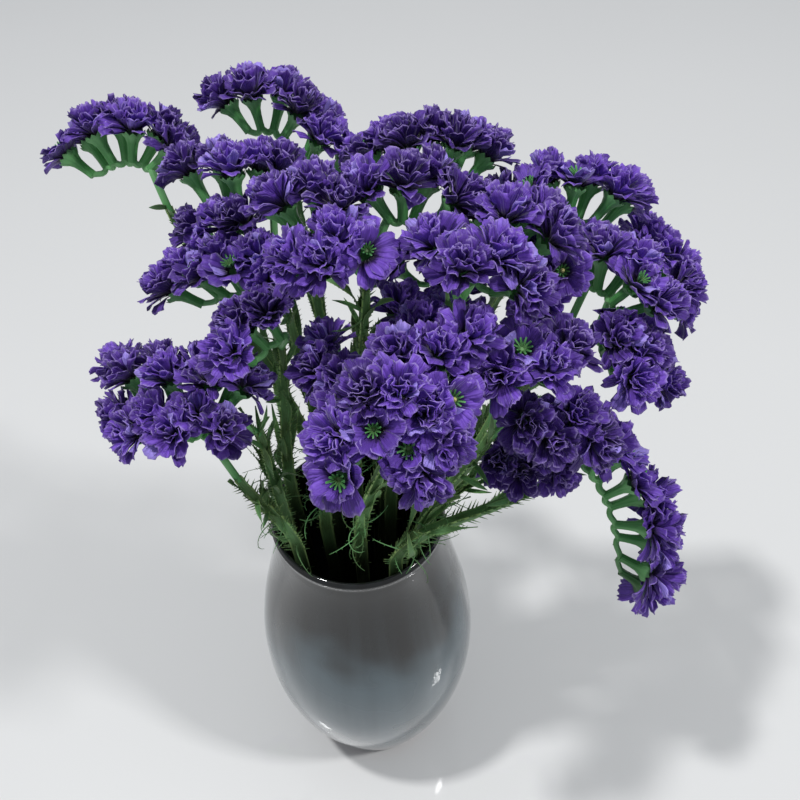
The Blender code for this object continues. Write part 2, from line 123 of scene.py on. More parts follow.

# %% [markdown]
# ## Where the stems run
#
# Eighteen stems stand in the vase. Each line of the table below says where a stem stands on
# the vase's floor and where it crosses the mouth, as a bearing and a distance from the axis,
# then the point where it forks, and its sprays. A spray is three points of its flowering
# stalk, the bearing and rise that its blooms face, how many there are and how far they lean.
# A longer leaf grows where some stems leave the vase: its share of the way up, the bearing and
# rise it grows to, its length and its curl. "shoots" counts the small side leaves of a stem
# that doesn't have the usual number, and "bristles" makes the teeth on its wings that much
# longer and closer. No rule would give this outline, so each stem is placed one by one.

# %% Lay out the stems
STEMS = {
    "left_high": {
        "foot": (130, 21), "mouth": (128, 32), "fork": (-73, 74, 317),
        "sprays": [((-78, 84, 330), (-90, 88, 332), (-105, 90, 324), (100, 62), 7, 9)],
    },
    "top": {
        "foot": (103, 21), "mouth": (102, 32), "fork": (-20, 77, 324), "shoots": 26,
        "sprays": [
            ((-22, 87, 341), (-29, 89, 344), (-37, 88, 343), (120, 65), 4, 9),
            ((-15, 79, 336), (-12, 74, 334), (-7, 68, 331), (60, 60), 3, 8),
        ],
    },
    "upper_left": {
        "foot": (145, 10), "mouth": (135, 16), "fork": (-28, 46, 308), "shoots": 16,
        "sprays": [
            ((-28, 54, 332), (-38, 54, 332), (-52, 62, 328), (105, 65), 5, 10),
            ((-34, 46, 318), (-40, 46, 314), (-48, 52, 308), (190, 50), 4, 10),
        ],
    },
    "left_middle": {
        "foot": (158, 21), "mouth": (160, 32), "fork": (-26, 20, 290), "shoots": 12,
        "leaf": (0.10, 140, 45, 24, -40), "bristles": 1.5,
        "sprays": [
            ((-30, 24, 312), (-40, 28, 310), (-57, 35, 299), (165, 55), 7, 8),
            ((-24, 6, 306), (-28, 2, 304), (-34, -2, 302), (215, 40), 3, 8),
        ],
    },
    "left_low_back": {
        "foot": (185, 21), "mouth": (188, 32), "fork": (-36, -6, 266), "shoots": 12,
        "leaf": (0.12, 172, 40, 28, -50), "bristles": 1.5,
        "sprays": [
            ((-46, -6, 280), (-60, -2, 278), (-86, 10, 270), (115, 60), 8, 12),
        ],
    },
    "left_low_front": {
        "foot": (213, 21), "mouth": (215, 32), "fork": (-46, -17, 250),
        "leaf": (0.12, 215, 40, 22, -35), "bristles": 1.7,
        "sprays": [
            ((-55, -10, 269), (-64, -9, 268), (-79, -3, 262), (240, 66), 6, 10),
        ],
    },
    "centre_top": {
        "foot": (95, 11), "mouth": (92, 15), "fork": (10, 12, 330), "shoots": 30,
        "sprays": [
            ((-2, 14, 346), (-8, 16, 346), (-14, 18, 342), (130, 70), 4, 8),
            ((20, 16, 350), (26, 18, 350), (34, 18, 346), (60, 75), 4, 11),
            ((8, 4, 342), (2, 3, 341), (-4, 2, 338), (250, 60), 4, 9),
        ],
    },
    "back_right": {
        "foot": (78, 21), "mouth": (72, 32), "fork": (46, 48, 324),
        "sprays": [((48, 54, 338), (36, 52, 343), (21, 56, 338), (95, 70), 7, 9)],
    },
    "right_top": {
        "foot": (15, 10), "mouth": (25, 17), "fork": (44, 2, 326),
        "sprays": [
            ((55, 7, 342), (60, 6, 342), (66, 4, 339), (70, 72), 4, 9),
            ((40, -6, 342), (46, -8, 342), (54, -8, 338), (285, 65), 4, 10),
        ],
    },
    "right_back": {
        "foot": (52, 21), "mouth": (47, 32), "fork": (70, 42, 310),
        "sprays": [((76, 46, 324), (89, 48, 326), (104, 48, 320), (80, 65), 7, 12)],
    },
    "right_outer": {
        "foot": (28, 21), "mouth": (23, 32), "fork": (108, 42, 268),
        "sprays": [
            ((118, 52, 294), (124, 46, 290), (126, 40, 284), (10, 45), 5, 10),
            ((115, 28, 265), (117, 25, 264), (117, 21, 261), (-20, 35), 3, 9),
        ],
    },
    "right_inner": {
        "foot": (6, 21), "mouth": (2, 32), "fork": (86, 14, 292),
        "leaf": (0.10, 18, 35, 26, -40), "bristles": 1.5,
        "sprays": [
            ((96, 26, 310), (102, 20, 310), (106, 12, 306), (40, 65), 5, 11),
            ((100, 9, 293), (103, 4, 290), (105, -1, 286), (-50, 62), 4, 10),
            ((82, 18, 312), (80, 24, 320), (76, 30, 324), (200, 70), 4, 10),
        ],
    },
    "front_right": {
        "foot": (322, 21), "mouth": (322, 32), "fork": (56, -22, 280),
        "sprays": [
            ((56, -22, 310), (62, -22, 312), (72, -20, 310), (270, 60), 5, 9),
            ((66, -22, 284), (74, -20, 282), (84, -18, 278), (290, 40), 4, 10),
        ],
    },
    "front": {
        "foot": (265, 10), "mouth": (275, 17), "fork": (24, -30, 304),
        "leaf": (0.10, 250, 62, 20, -30),
        "sprays": [
            ((18, -43, 321), (13, -48, 316), (5, -55, 308), (250, 55), 5, 11),
            ((30, -41, 317), (28, -45, 312), (24, -50, 305), (290, 50), 5, 11),
            ((28, -28, 320), (34, -26, 322), (40, -26, 322), (270, 70), 3, 9),
        ],
    },
    "right_low": {
        "foot": (300, 21), "mouth": (302, 32), "fork": (84, -16, 240),
        "leaf": (0.08, 285, 45, 22, -35), "bristles": 1.8,
        "sprays": [((94, -15, 251), (108, -24, 230), (115, -36, 197), (0, 25), 9, 7)],
    },
    "centre_low": {
        "foot": (205, 10), "mouth": (210, 16), "fork": (-9, -4, 268),
        "sprays": [((-1, 3, 286), (1, -4, 287), (5, -12, 285), (250, 50), 4, 8)],
    },
    "right_shade": {
        "foot": (344, 21), "mouth": (342, 32), "fork": (54, -8, 238),
        "sprays": [((63, -10, 248), (69, -9, 249), (76, -8, 248), (285, 40), 4, 8)],
    },
    "shade_back": {
        "foot": (0, 0), "mouth": (52, 22), "fork": (39, 23, 276),
        "sprays": [
            ((42, 14, 290), (34, 12, 292), (24, 14, 294), (180, 70), 4, 9),
            ((40, 38, 300), (35, 40, 301), (30, 43, 299), (240, 74), 3, 8),
        ],
    },
}
print("stems:", len(STEMS), "sprays:", sum(len(stem["sprays"]) for stem in STEMS.values()))

# %% [markdown]
# ## Lines in space
#
# Everything green follows a line, so a few small helpers come first: a point at a bearing, a
# Bezier curve, the direction along a line, and two vectors square to it. Those two are found
# with a hint, a vector that the line isn't parallel to: up for stalks and leaves, and a
# slant for cups, stars and petals, because they may point straight up. Blender's curve
# objects could hold the lines, but plain points let one rule place stalks, cups and blooms.

# %% Helpers for lines
SLANT = Vector((0.2, 0.4, 1))


def on_circle(bearing, distance, height):
    """A point round the axis, at a bearing in degrees from +X."""
    angle = math.radians(bearing)
    return Vector((distance * math.cos(angle), distance * math.sin(angle), height))


def facing(bearing, rise):
    """The unit vector with a bearing and a rise, both in degrees."""
    angle = math.radians(rise)
    return on_circle(bearing, math.cos(angle), math.sin(angle))


def bezier(points, t):
    """The point at t on the Bezier curve of any number of control points."""
    while len(points) > 1:
        points = [a.lerp(b, t) for a, b in zip(points, points[1:])]
    return points[0]


def across(direction, hint=UP):
    """Two unit vectors square to direction and to each other."""
    side = direction.cross(hint)
    if side.length < 1e-3:
        side = direction.cross(Vector((0, 1, 0)))
    side.normalize()
    return side, side.cross(direction).normalized()


def turned(side, other, angle):
    """The unit vector at an angle from side towards other, which are square to each other."""
    return side * math.cos(angle) + other * math.sin(angle)


def tangents(line):
    """The direction of a line at each of its points."""
    ends = zip([line[0], *line[:-1]], [*line[1:], line[-1]])
    return [(after - before).normalized() for before, after in ends]


def rounded(line):
    """The line with each corner cut into two softer ones."""
    soft = [line[0]]
    for before, after in zip(line, line[1:]):
        soft += [before.lerp(after, 0.25), before.lerp(after, 0.75)]
    return soft + [line[-1]]


print("two vectors across the slant:", *across(SLANT.normalized()))

# %% Follow a stem
RING_SPACING = 1.5
RINGS_IN_VASE = 12


def stalk_line(stem):
    """The centre line: straight in the vase, then a curve out to the fork.

    Next to it comes each point's share of the way from the mouth to the fork. The wings of a
    leaning stalk reach lower on one side, so its foot is lifted by that much.
    """
    foot = on_circle(*stem["foot"], FLOOR + CLEARANCE)
    mouth = on_circle(*stem["mouth"], VASE_HEIGHT)
    slant = (mouth - foot).normalized()
    foot.z += STALK_WING * math.hypot(slant.x, slant.y)
    fork = Vector(stem["fork"])
    reach = (fork - mouth).length
    leaving = mouth + (mouth - foot).normalized() * reach * STALK_LEAVING
    last_aim = (fork - mouth).normalized().lerp(UP, STALK_UPRIGHT).normalized()
    arriving = fork - last_aim * reach * STALK_ARRIVING
    steps = round(reach / RING_SPACING)
    line = [foot.lerp(mouth, i / RINGS_IN_VASE) for i in range(RINGS_IN_VASE)]
    line += [bezier([mouth, leaving, arriving, fork], i / steps) for i in range(steps + 1)]
    shares = [0] * RINGS_IN_VASE + [i / steps for i in range(steps + 1)]
    return line, shares


def spray_cups(spray):
    """Each cup of a spray as (root on its stalk, direction), root to tip."""
    first, middle, last, face, count, lean = spray
    first, middle, last = Vector(first), Vector(middle), Vector(last)
    curve = [first, middle * 2 - (first + last) / 2, last]
    length = (last - first).length
    front = facing(*face)
    cups = []
    for i in range(count):
        t = i / (count - 1)
        before, after = bezier(curve, max(t - HALF_SPAN, 0)), bezier(curve, min(t + HALF_SPAN, 1))
        along = (after - before).normalized()
        outward = (front - along * front.dot(along) * FACE_SQUARE).normalized()
        outward = (outward + along * FAN * length * (t - 0.5)).normalized()
        swing = math.radians(lean) * (1 if i % 2 else -1)
        outward = Matrix.Rotation(swing, 3, along) @ outward
        side = along.cross(outward).normalized()
        cups.append((bezier(curve, t) + side * ZIGZAG * (1 if i % 2 else -1), outward))
    return cups


print("blooms:", sum(len(spray_cups(s)) for stem in STEMS.values() for s in stem["sprays"]))

# %% [markdown]
# ## Surfaces
#
# Petals, stalks and cups are all grids of points: open ones for petals, and ones that close
# round for stalks. One small collector takes such grids and makes a single mesh of them. Next
# to each point it stores a "paint" value of three numbers: how far across and how far along
# its own part the point lies, and a tone for that part. The materials read it, so a vein
# follows its petal however the petal is bent, which no texture in space could do.

# %% Collect grids into a mesh


class Surface:
    """Points, faces and paint of one piece, in millimetres until it is made."""

    def __init__(self):
        self.points, self.faces, self.paint = [], [], []

    def add_row(self, points, paint):
        start = len(self.points)
        self.points += points
        self.paint += paint
        return list(range(start, start + len(points)))

    def add_grid(self, rows, closed=False):
        """Rows are (points, paint). A closed grid wraps round and gets a face at each end."""
        loops = [self.add_row(points, paint) for points, paint in rows]
        count = len(loops[0])
        for low, high in zip(loops, loops[1:]):
            for i in range(count if closed else count - 1):
                j = (i + 1) % count
                self.faces.append((low[i], low[j], high[j], high[i]))
        if closed:
            self.faces += [tuple(reversed(loops[0])), tuple(loops[-1])]

    def make(self, name, material, sharp):
        """The finished mesh object, with outward faces and smooth shading."""
        mesh = bpy.data.meshes.new(name)
        mesh.from_pydata([p * MM for p in self.points], [], self.faces)
        paint = mesh.attributes.new("paint", "FLOAT_VECTOR", "POINT")
        paint.data.foreach_set("vector", [number for trio in self.paint for number in trio])
        work = bmesh.new()
        work.from_mesh(mesh)
        bmesh.ops.recalc_face_normals(work, faces=work.faces)
        work.to_mesh(mesh)
        work.free()
        mesh.materials.append(material)
        mesh.shade_smooth()
        mesh.set_sharp_from_angle(angle=math.radians(sharp))
        piece = bpy.data.objects.new(name, mesh)
        bpy.context.scene.collection.objects.link(piece)
        return piece


def dress(piece, slot, *nodes):
    """Hangs a piece under the root body and hides the solids it stands for; its slot, the finish
    it takes, is not used.
    """
    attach(piece, "root")
    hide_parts(*nodes)


print("paint of a point: across, along, tone")

# %% [markdown]
# ## Shared effects
#
# Two effects return in several finishes. "mottle" is the slow, cloudy change of tone that
# keeps a surface from looking like plastic. "streaks" are fine lines that run along a part,
# as veins in a petal or fibres in a stalk: a noise that is squeezed in one direction, and
# shifted by the tone so that no two parts have the same lines. Each is a node group, built
# once, so each material can place it with values of its own.

# %% Helpers for node trees


def new_group(name, inputs, output):
    """An empty node group with float inputs (name, value) and one float output."""
    group = bpy.data.node_groups.new(name, "ShaderNodeTree")
    group.interface.new_socket("Vector", in_out="INPUT", socket_type="NodeSocketVector")
    for label, value in inputs:
        socket = group.interface.new_socket(label, in_out="INPUT", socket_type="NodeSocketFloat")
        socket.default_value = value
    group.interface.new_socket(output, in_out="OUTPUT", socket_type="NodeSocketFloat")
    return group, group.nodes.new("NodeGroupInput"), group.nodes.new("NodeGroupOutput")


def node(tree, kind, **inputs):
    """A new node with its input sockets set to values or linked to other sockets."""
    made = tree.nodes.new(kind)
    for label, value in inputs.items():
        place(tree, made.inputs[label.replace("_", " ")], value)
    return made


def place(tree, socket, value):
    """Links a socket to another one, or sets its value."""
    if isinstance(value, bpy.types.NodeSocket):
        tree.links.new(value, socket)
    else:
        socket.default_value = value


def calculate(tree, operation, *values):
    """A Math node's output."""
    made = tree.nodes.new("ShaderNodeMath")
    made.operation = operation
    for socket, value in zip(made.inputs, values):
        place(tree, socket, value)
    return made.outputs[0]


def remap(tree, value, low, high, new_low=0.0, new_high=1.0):
    """The value carried smoothly from one range to another, and clamped there."""
    made = tree.nodes.new("ShaderNodeMapRange")
    made.interpolation_type = "SMOOTHSTEP"
    for label, number in (("Value", value), ("From Min", low), ("From Max", high),
                          ("To Min", new_low), ("To Max", new_high)):
        place(tree, made.inputs[label], number)
    return made.outputs["Result"]


# %% Build the two node groups
MOTTLE_CONTRAST = (0.3, 0.7)
STREAK_CONTRAST = (0.35, 0.65)
TONE_SHIFT = 37.0

mottle, inlet, outlet = new_group("mottle", [("Scale", 40.0), ("Detail", 3.0)], "Mask")
cloud = node(mottle, "ShaderNodeTexNoise", Vector=inlet.outputs["Vector"],
             Scale=inlet.outputs["Scale"], Detail=inlet.outputs["Detail"])
clouds = remap(mottle, cloud.outputs["Fac"], *MOTTLE_CONTRAST)
mottle.links.new(clouds, outlet.inputs["Mask"])

streaks, inlet, outlet = new_group("streaks", [("Count", 9.0), ("Length", 0.8)], "Mask")
parts = node(streaks, "ShaderNodeSeparateXYZ", Vector=inlet.outputs["Vector"])
squeezed = node(
    streaks, "ShaderNodeCombineXYZ",
    X=calculate(streaks, "MULTIPLY", parts.outputs["X"], inlet.outputs["Count"]),
    Y=calculate(streaks, "MULTIPLY", parts.outputs["Y"], inlet.outputs["Length"]),
    Z=calculate(streaks, "MULTIPLY", parts.outputs["Z"], TONE_SHIFT),
)
lines = node(streaks, "ShaderNodeTexNoise", Vector=squeezed.outputs[0], Scale=1.0, Detail=2.0)
fine_lines = remap(streaks, lines.outputs["Fac"], *STREAK_CONTRAST)
streaks.links.new(fine_lines, outlet.inputs["Mask"])
print("groups:", [group.name for group in bpy.data.node_groups])

# %% Helpers for materials


def use_group(tree, group, vector, **values):
    """Places a shared effect in a tree and gives its mask."""
    made = tree.nodes.new("ShaderNodeGroup")
    made.node_tree = group
    place(tree, made.inputs["Vector"], vector)
    for label, value in values.items():
        place(tree, made.inputs[label], value)
    return made.outputs["Mask"]


def mix_colours(tree, share, first, second):
    """The first colour where share is 0 and the second where it is 1."""
    made = tree.nodes.new("ShaderNodeMix")
    made.data_type = "RGBA"
    place(tree, made.inputs["Factor"], share)
    for socket, colour in ((made.inputs[6], first), (made.inputs[7], second)):
        place(tree, socket, colour if isinstance(colour, bpy.types.NodeSocket) else (*colour, 1))
    return made.outputs[2]


def new_finish(name, roughness, **fixed):
    """A Principled material with its even values set, its node tree and its shader."""
    finish = bpy.data.materials.new(name)
    finish.use_nodes = True
    shader = finish.node_tree.nodes["Principled BSDF"]
    shader.inputs["Roughness"].default_value = roughness
    for label, value in fixed.items():
        shader.inputs[label.replace("_", " ")].default_value = value
    return finish, finish.node_tree, shader


def read_paint(tree):
    """The three paint values as sockets: across, along and tone; and all three as a vector."""
    stored = tree.nodes.new("ShaderNodeAttribute")
    stored.attribute_name = "paint"
    parts = node(tree, "ShaderNodeSeparateXYZ", Vector=stored.outputs["Vector"])
    return (*parts.outputs, stored.outputs["Vector"])


def read_place(tree):
    """Where a point lies on its object, in metres, for effects that ignore the paint."""
    return tree.nodes.new("ShaderNodeTexCoord").outputs["Object"]


def add_relief(tree, shader, height, distance, strength):
    """Lets a mask lift the surface by a distance in metres."""
    bump = node(tree, "ShaderNodeBump", Height=height, Distance=distance, Strength=strength)
    tree.links.new(bump.outputs["Normal"], shader.inputs["Normal"])


# %% [markdown]
# ## The vase
#
# The vase is thrown on a wheel, so it is a half section turned round its axis: a narrow foot,
# an egg-shaped wall that is widest below its middle, a thin lip with a soft bead under it and
# the inside with its floor. A screw modifier could turn the section, but turning it in code
# gives even rings and lets each point keep its height as paint.

# %% Draw the wall
BELLY_RADIUS = 55.5
BELLY_HEIGHT = 90
RIM_RADIUS = 39.5
FOOT_RADIUS = 35
FOOT_ROUNDING = 2
LIP = 2.0
BEAD = ((5.0, 0.0), (3.6, 0.15), (2.9, 0.5), (2.1, 0.65), (1.4, 0.5))
SHOULDER_FULLNESS = 1.15
WALL_STEPS = 22


def wall_section():
    """The outside of the wall from its foot to just under the lip, as (radius, height)."""
    points = []
    for i in range(WALL_STEPS + 1):
        share = i / WALL_STEPS
        bulge = math.sin(share * math.pi / 2)
        height = FOOT_ROUNDING + (BELLY_HEIGHT - FOOT_ROUNDING) * share
        points.append((FOOT_RADIUS + (BELLY_RADIUS - FOOT_RADIUS) * bulge, height))
    for i in range(1, WALL_STEPS + 1):
        share = i / WALL_STEPS
        drop = (1 - math.cos(math.pi * share ** SHOULDER_FULLNESS)) / 2
        height = BELLY_HEIGHT + (VASE_HEIGHT - BELLY_HEIGHT - LIP / 2) * share
        points.append((BELLY_RADIUS - (BELLY_RADIUS - RIM_RADIUS) * drop, height))
    top = points.pop()
    points = [point for point in points if point[1] < VASE_HEIGHT - BEAD[0][0]]
    return points + [(RIM_RADIUS + swell, VASE_HEIGHT - below) for below, swell in BEAD] + [top]


print("points on the wall:", len(wall_section()))

# %% Close the section
WALL = 3.5
LIP_DEPTH = 14
LIP_STEPS = 6
FOOT_EDGE = ((6, 1.2), (4, 0.0), (2, 0.0), (0.5, 0.5))
FLOOR_EDGE = ((1, 1), (4, 0))


def thickness_at(height):
    """The wall is thin at the lip and has its full thickness a little further down."""
    share = min((VASE_HEIGHT - height) / LIP_DEPTH, 1)
    return LIP + (WALL - LIP) * share


def vase_section():
    """The whole half section, from the middle of the foot round to the middle of the floor."""
    outside = wall_section()
    foot = [(FOOT_RADIUS - inward, height) for inward, height in FOOT_EDGE]
    top_radius, top_height = outside[-1]
    lip = []
    for i in range(1, LIP_STEPS):
        turn = math.pi * i / LIP_STEPS
        radius = top_radius - LIP / 2 + math.cos(turn) * LIP / 2
        lip.append((radius, top_height + math.sin(turn) * LIP / 2))
    inside = [
        (radius - thickness_at(height), height)
        for radius, height in reversed(outside) if height > FLOOR
    ]
    floor = [(FOOT_RADIUS - WALL - inward, FLOOR + rise) for inward, rise in FLOOR_EDGE]
    return foot + outside + lip + inside + floor


print("points in the section:", len(vase_section()))

# %% Turn the vase
TURN_STEPS = 96

vase = Surface()
rows = []
for radius, height in vase_section():
    ring = [on_circle(360 * i / TURN_STEPS, radius, height) for i in range(TURN_STEPS)]
    rows.append((ring, [(i / TURN_STEPS, height / VASE_HEIGHT, 0) for i in range(TURN_STEPS)]))
vase.add_grid(rows, closed=True)
print("points in the vase:", len(vase.points))

# %% [markdown]
# The glaze is a dark lustre in three zones: almost black at the shoulder, blue-grey round the
# belly and plainer grey towards the foot, with soft pale runs down the wall. The runs are
# partly where the glaze flowed down in the kiln and partly painted reflection of the room.
# Under it the bare clay shows in a thin line at the foot. The zones are bands of height that
# slow noise shifts up and down, so they have no straight border, and a clear coat on the
# shader gives the crisp lights of a glassy surface.

# %% Glaze the vase
GLAZE_SHOULDER = (0.006, 0.006, 0.006)
GLAZE_BELLY = (0.076, 0.112, 0.132)
GLAZE_FOOT = (0.055, 0.070, 0.080)
RUN_GLAZE_AND_REFLECTION = (0.13, 0.18, 0.21)
BARE_CLAY = (0.060, 0.014, 0.011)
CLAY_BAND = (0.04, 0.024)
BELLY_BAND = (0.95, 0.66)
FOOT_BAND = (0.58, 0.30)
RUN_BAND = (0.95, 0.3)
RUN_SHARES = (0.03, 0.42)
CLOUD_SHIFT = 0.2
GLAZE_ROUGHNESS = (0.22, 0.36)

glaze, tree, shader = new_finish(
    "glaze", 0.3, Specular_IOR_Level=0.05, Coat_Weight=1.0, Coat_Roughness=0.02, Coat_IOR=1.52
)
_, height, _, paint = read_paint(tree)
cloudy = use_group(tree, mottle, read_place(tree), Scale=22.0, Detail=2.0)
shifted = calculate(tree, "ADD", height, calculate(tree, "MULTIPLY", cloudy, CLOUD_SHIFT))
body = mix_colours(tree, remap(tree, shifted, *BELLY_BAND), GLAZE_SHOULDER, GLAZE_BELLY)
body = mix_colours(tree, remap(tree, shifted, *FOOT_BAND), body, GLAZE_FOOT)
# Painted reflection in part: the pale runs also stand for streaks of the room reflected in the
# glaze.
runs_and_reflections = use_group(tree, streaks, paint, Count=24.0, Length=1.1)
shown = calculate(tree, "MULTIPLY", runs_and_reflections, remap(tree, height, *RUN_BAND, *RUN_SHARES))
body = mix_colours(tree, shown, body, RUN_GLAZE_AND_REFLECTION)
body = mix_colours(tree, remap(tree, height, *CLAY_BAND), body, BARE_CLAY)
tree.links.new(body, shader.inputs["Base Color"])
tree.links.new(remap(tree, cloudy, 0, 1, *GLAZE_ROUGHNESS), shader.inputs["Roughness"])
add_relief(tree, shader, runs_and_reflections, 0.0004, 0.12)
dress(vase.make("vase_glazed", glaze, 50), "glaze", "vase")
print("material:", glaze.name)

# %% [markdown]
# ## Winged stalks
#
# A statice stalk has a slim round core and three thin wings, with a fringe of small stiff
# teeth on their edges that lean towards the tip. The wings are drawn in the stalk's cross
# section, which is repeated along its line while it twists and tapers. The teeth are single
# four-sided spikes, set along each edge at uneven distances. A tone of its own in the paint
# tells stalks, cups and eyes apart, and values in between mark bracts, blades and fibres.

# %% Grow a tooth
STALK_TONE = 0.0
CUP_TONE = 0.6
EYE_TONE = 1.0
SPIKE_TIP = 0.12


def add_spike(surface, root, aim, length, width, tone):
    """A four-sided spike that stands in what it grows from."""
    side, other = across(aim)
    base = root - aim * width
    ring = [base + (side * a + other * b) * width for a, b in ((1, 0), (0, 1), (-1, 0), (0, -1))]
    tip = [root + aim * length + (p - base) * SPIKE_TIP for p in ring]
    low, high = [(0, 0.5, tone)] * 4, [(1, 0.5, tone)] * 4
    surface.add_grid([(ring, low), (tip, high)], closed=True)


print("tones of stalks, cups and eyes:", STALK_TONE, CUP_TONE, EYE_TONE)

# %% Grow a winged stalk
WING_HALF_ANGLE = 7
WING_ROOT_ANGLE = 30
WING_RIPPLE = 0.07
RIPPLE_STEP = 1.3
VALLEY = 0.86
GRAIN_REPEATS = 12
TOOTH_SPACING = (2.6, 5.2)
TOOTH_LENGTH = (1.6, 3.2)
TOOTH_WIDTH = 0.5
TOOTH_LEAN = 0.9
TOOTH_SINK = 0.25


def wing_section():
    """One third of the cross section as (angle, share of the way from core to wing edge)."""
    return [(-60, -1), (-WING_ROOT_ANGLE, 0), (-WING_HALF_ANGLE, 1), (WING_HALF_ANGLE, 1),
            (WING_ROOT_ANGLE, 0)]


def add_stalk(surface, stem, chance):
    """The winged stalk and its teeth."""
    line, shares = stalk_line(stem)
    aims = tangents(line)
    side, _ = across(aims[0], Vector((1, 0, 0)))
    rows, edges = [], []
    for centre, aim, share in zip(line, aims, shares):
        side = (side - aim * side.dot(aim)).normalized()
        other = aim.cross(side)
        size = 1 + (STALK_TAPER - 1) * share
        points, paint, tips = [], [], []
        for wing in range(WINGS):
            wave = math.sin(len(rows) * RIPPLE_STEP + wing * 2)
            ripple = 1 + WING_RIPPLE * wave * (share > 0)
            middle = math.tau * wing / WINGS + share * WING_TWIST
            for angle, reach in wing_section():
                way = turned(side, other, middle + math.radians(angle))
                edge = STALK_CORE + (STALK_WING * ripple - STALK_CORE) * max(reach, 0)
                radius = size * (edge if reach >= 0 else STALK_CORE * VALLEY)
                points.append(centre + way * radius)
                paint.append((reach, share * GRAIN_REPEATS, STALK_TONE))
            way = turned(side, other, middle)
            tips.append((centre + way * STALK_WING * ripple * size, way, aim))
        rows.append((points, paint))
        edges.append(tips)
    surface.add_grid(rows, closed=True)
    bristles = stem.get("bristles", 1)
    for wing in range(WINGS):
        run = RINGS_IN_VASE - 1
        while run < len(edges) - 2:
            root, way, aim = edges[int(run)][wing]
            lean = (way + aim * TOOTH_LEAN).normalized()
            length = chance.uniform(*TOOTH_LENGTH) * bristles
            add_spike(surface, root - way * TOOTH_SINK, lean, length, TOOTH_WIDTH, STALK_TONE)
            run += chance.uniform(*TOOTH_SPACING) / RING_SPACING / bristles
    return line


print("points round a stalk:", WINGS * len(wing_section()))

# %% [markdown]
# ## Flowering stalks and cups
#
# Past the fork the stalk is thin and goes in steps: it runs on below each cup, turns, and
# reaches the next. A cup is a smooth funnel on a narrow neck, with faint ribs and a rim of
# small pale teeth that clasp the bloom, and a small bract sits under it at the bend. The cup's
# wall turns over at the rim and goes down again inside, so that it is a real shell.

# %% Grow the stepped stalk
TUBE_GRAIN = 0.4
RACHIS_SIDES = 8
RACHIS_RADIUS = 1.4
RACHIS_SWELL = 1.15
RACHIS_THINNING = 0.3
RACHIS_TIP = 0.5
STEP_DIP = 2.4
STEP_PLACE = 0.32
BRACT_LENGTH = 4.2
BRACT_WIDTH = 0.8
BRACT_AHEAD = 0.9
BRACT_DROP = 0.5
BRACT_TONE = CUP_TONE * 0.6


def add_tube(surface, line, radii, sides, tone, hint=UP):
    """A round stalk along a line, closed at both ends."""
    rows = []
    aims = tangents(line)
    side, _ = across(aims[0], hint)
    for i, (centre, aim) in enumerate(zip(line, aims)):
        side = (side - aim * side.dot(aim)).normalized()
        other = aim.cross(side)
        ring = [centre + turned(side, other, math.tau * k / sides) * radii[i]
                for k in range(sides)]
        paint = [(2 * k / sides - 1, i * TUBE_GRAIN, tone) for k in range(sides)]
        rows.append((ring, paint))
    surface.add_grid(rows, closed=True)


def add_flowering_stalk(surface, start, cups):
    """The stepped stalk through the roots of its cups, with a bract at each bend.

    Its first corner lies half a step before the first cup.
    """
    roots = [root for root, _ in cups]
    before = roots[0] * 1.5 - roots[1] * 0.5
    corners = [start, before - cups[0][1] * STEP_DIP * 0.5, roots[0]]
    for (root, outward), (following, _) in zip(cups, cups[1:]):
        corners.append(root.lerp(following, STEP_PLACE) - outward * STEP_DIP)
        corners.append(following)
    line = rounded(rounded(corners))
    count = len(line)
    radii = [RACHIS_RADIUS * (RACHIS_SWELL - RACHIS_THINNING * i / count) for i in range(count)]
    radii[-1] *= RACHIS_TIP
    add_tube(surface, line, radii, RACHIS_SIDES, CUP_TONE)
    for (root, outward), (following, _) in zip(cups, cups[1:]):
        along = (following - root).normalized()
        aim = (along * BRACT_AHEAD - outward * BRACT_DROP).normalized()
        add_spike(surface, root - outward, aim, BRACT_LENGTH, BRACT_WIDTH, BRACT_TONE)


print("sides of a stepped stalk:", RACHIS_SIDES)

# %% Grow a cup
CUP_TEETH = 11
CUP_RIBS = 5
CUP_PROFILE = ((-0.6, 1.8), (2.5, 1.8), (5.0, 1.95), (7.5, 2.25), (9.6, 3.1), (11.3, 4.6))
CUP_SOFT_FROM = 6
RIB_DEPTH = 0.07
CUP_TOOTH_ROOT = (0.4, 0.1)
CUP_TOOTH_LENGTH = 1.3
CUP_TOOTH_SPREAD = 0.3
CUP_SHELL = 0.5
CUP_SINK = 3.0
CUP_THROAT = 1.6
CUP_SIZES = (0.92, 1.08)


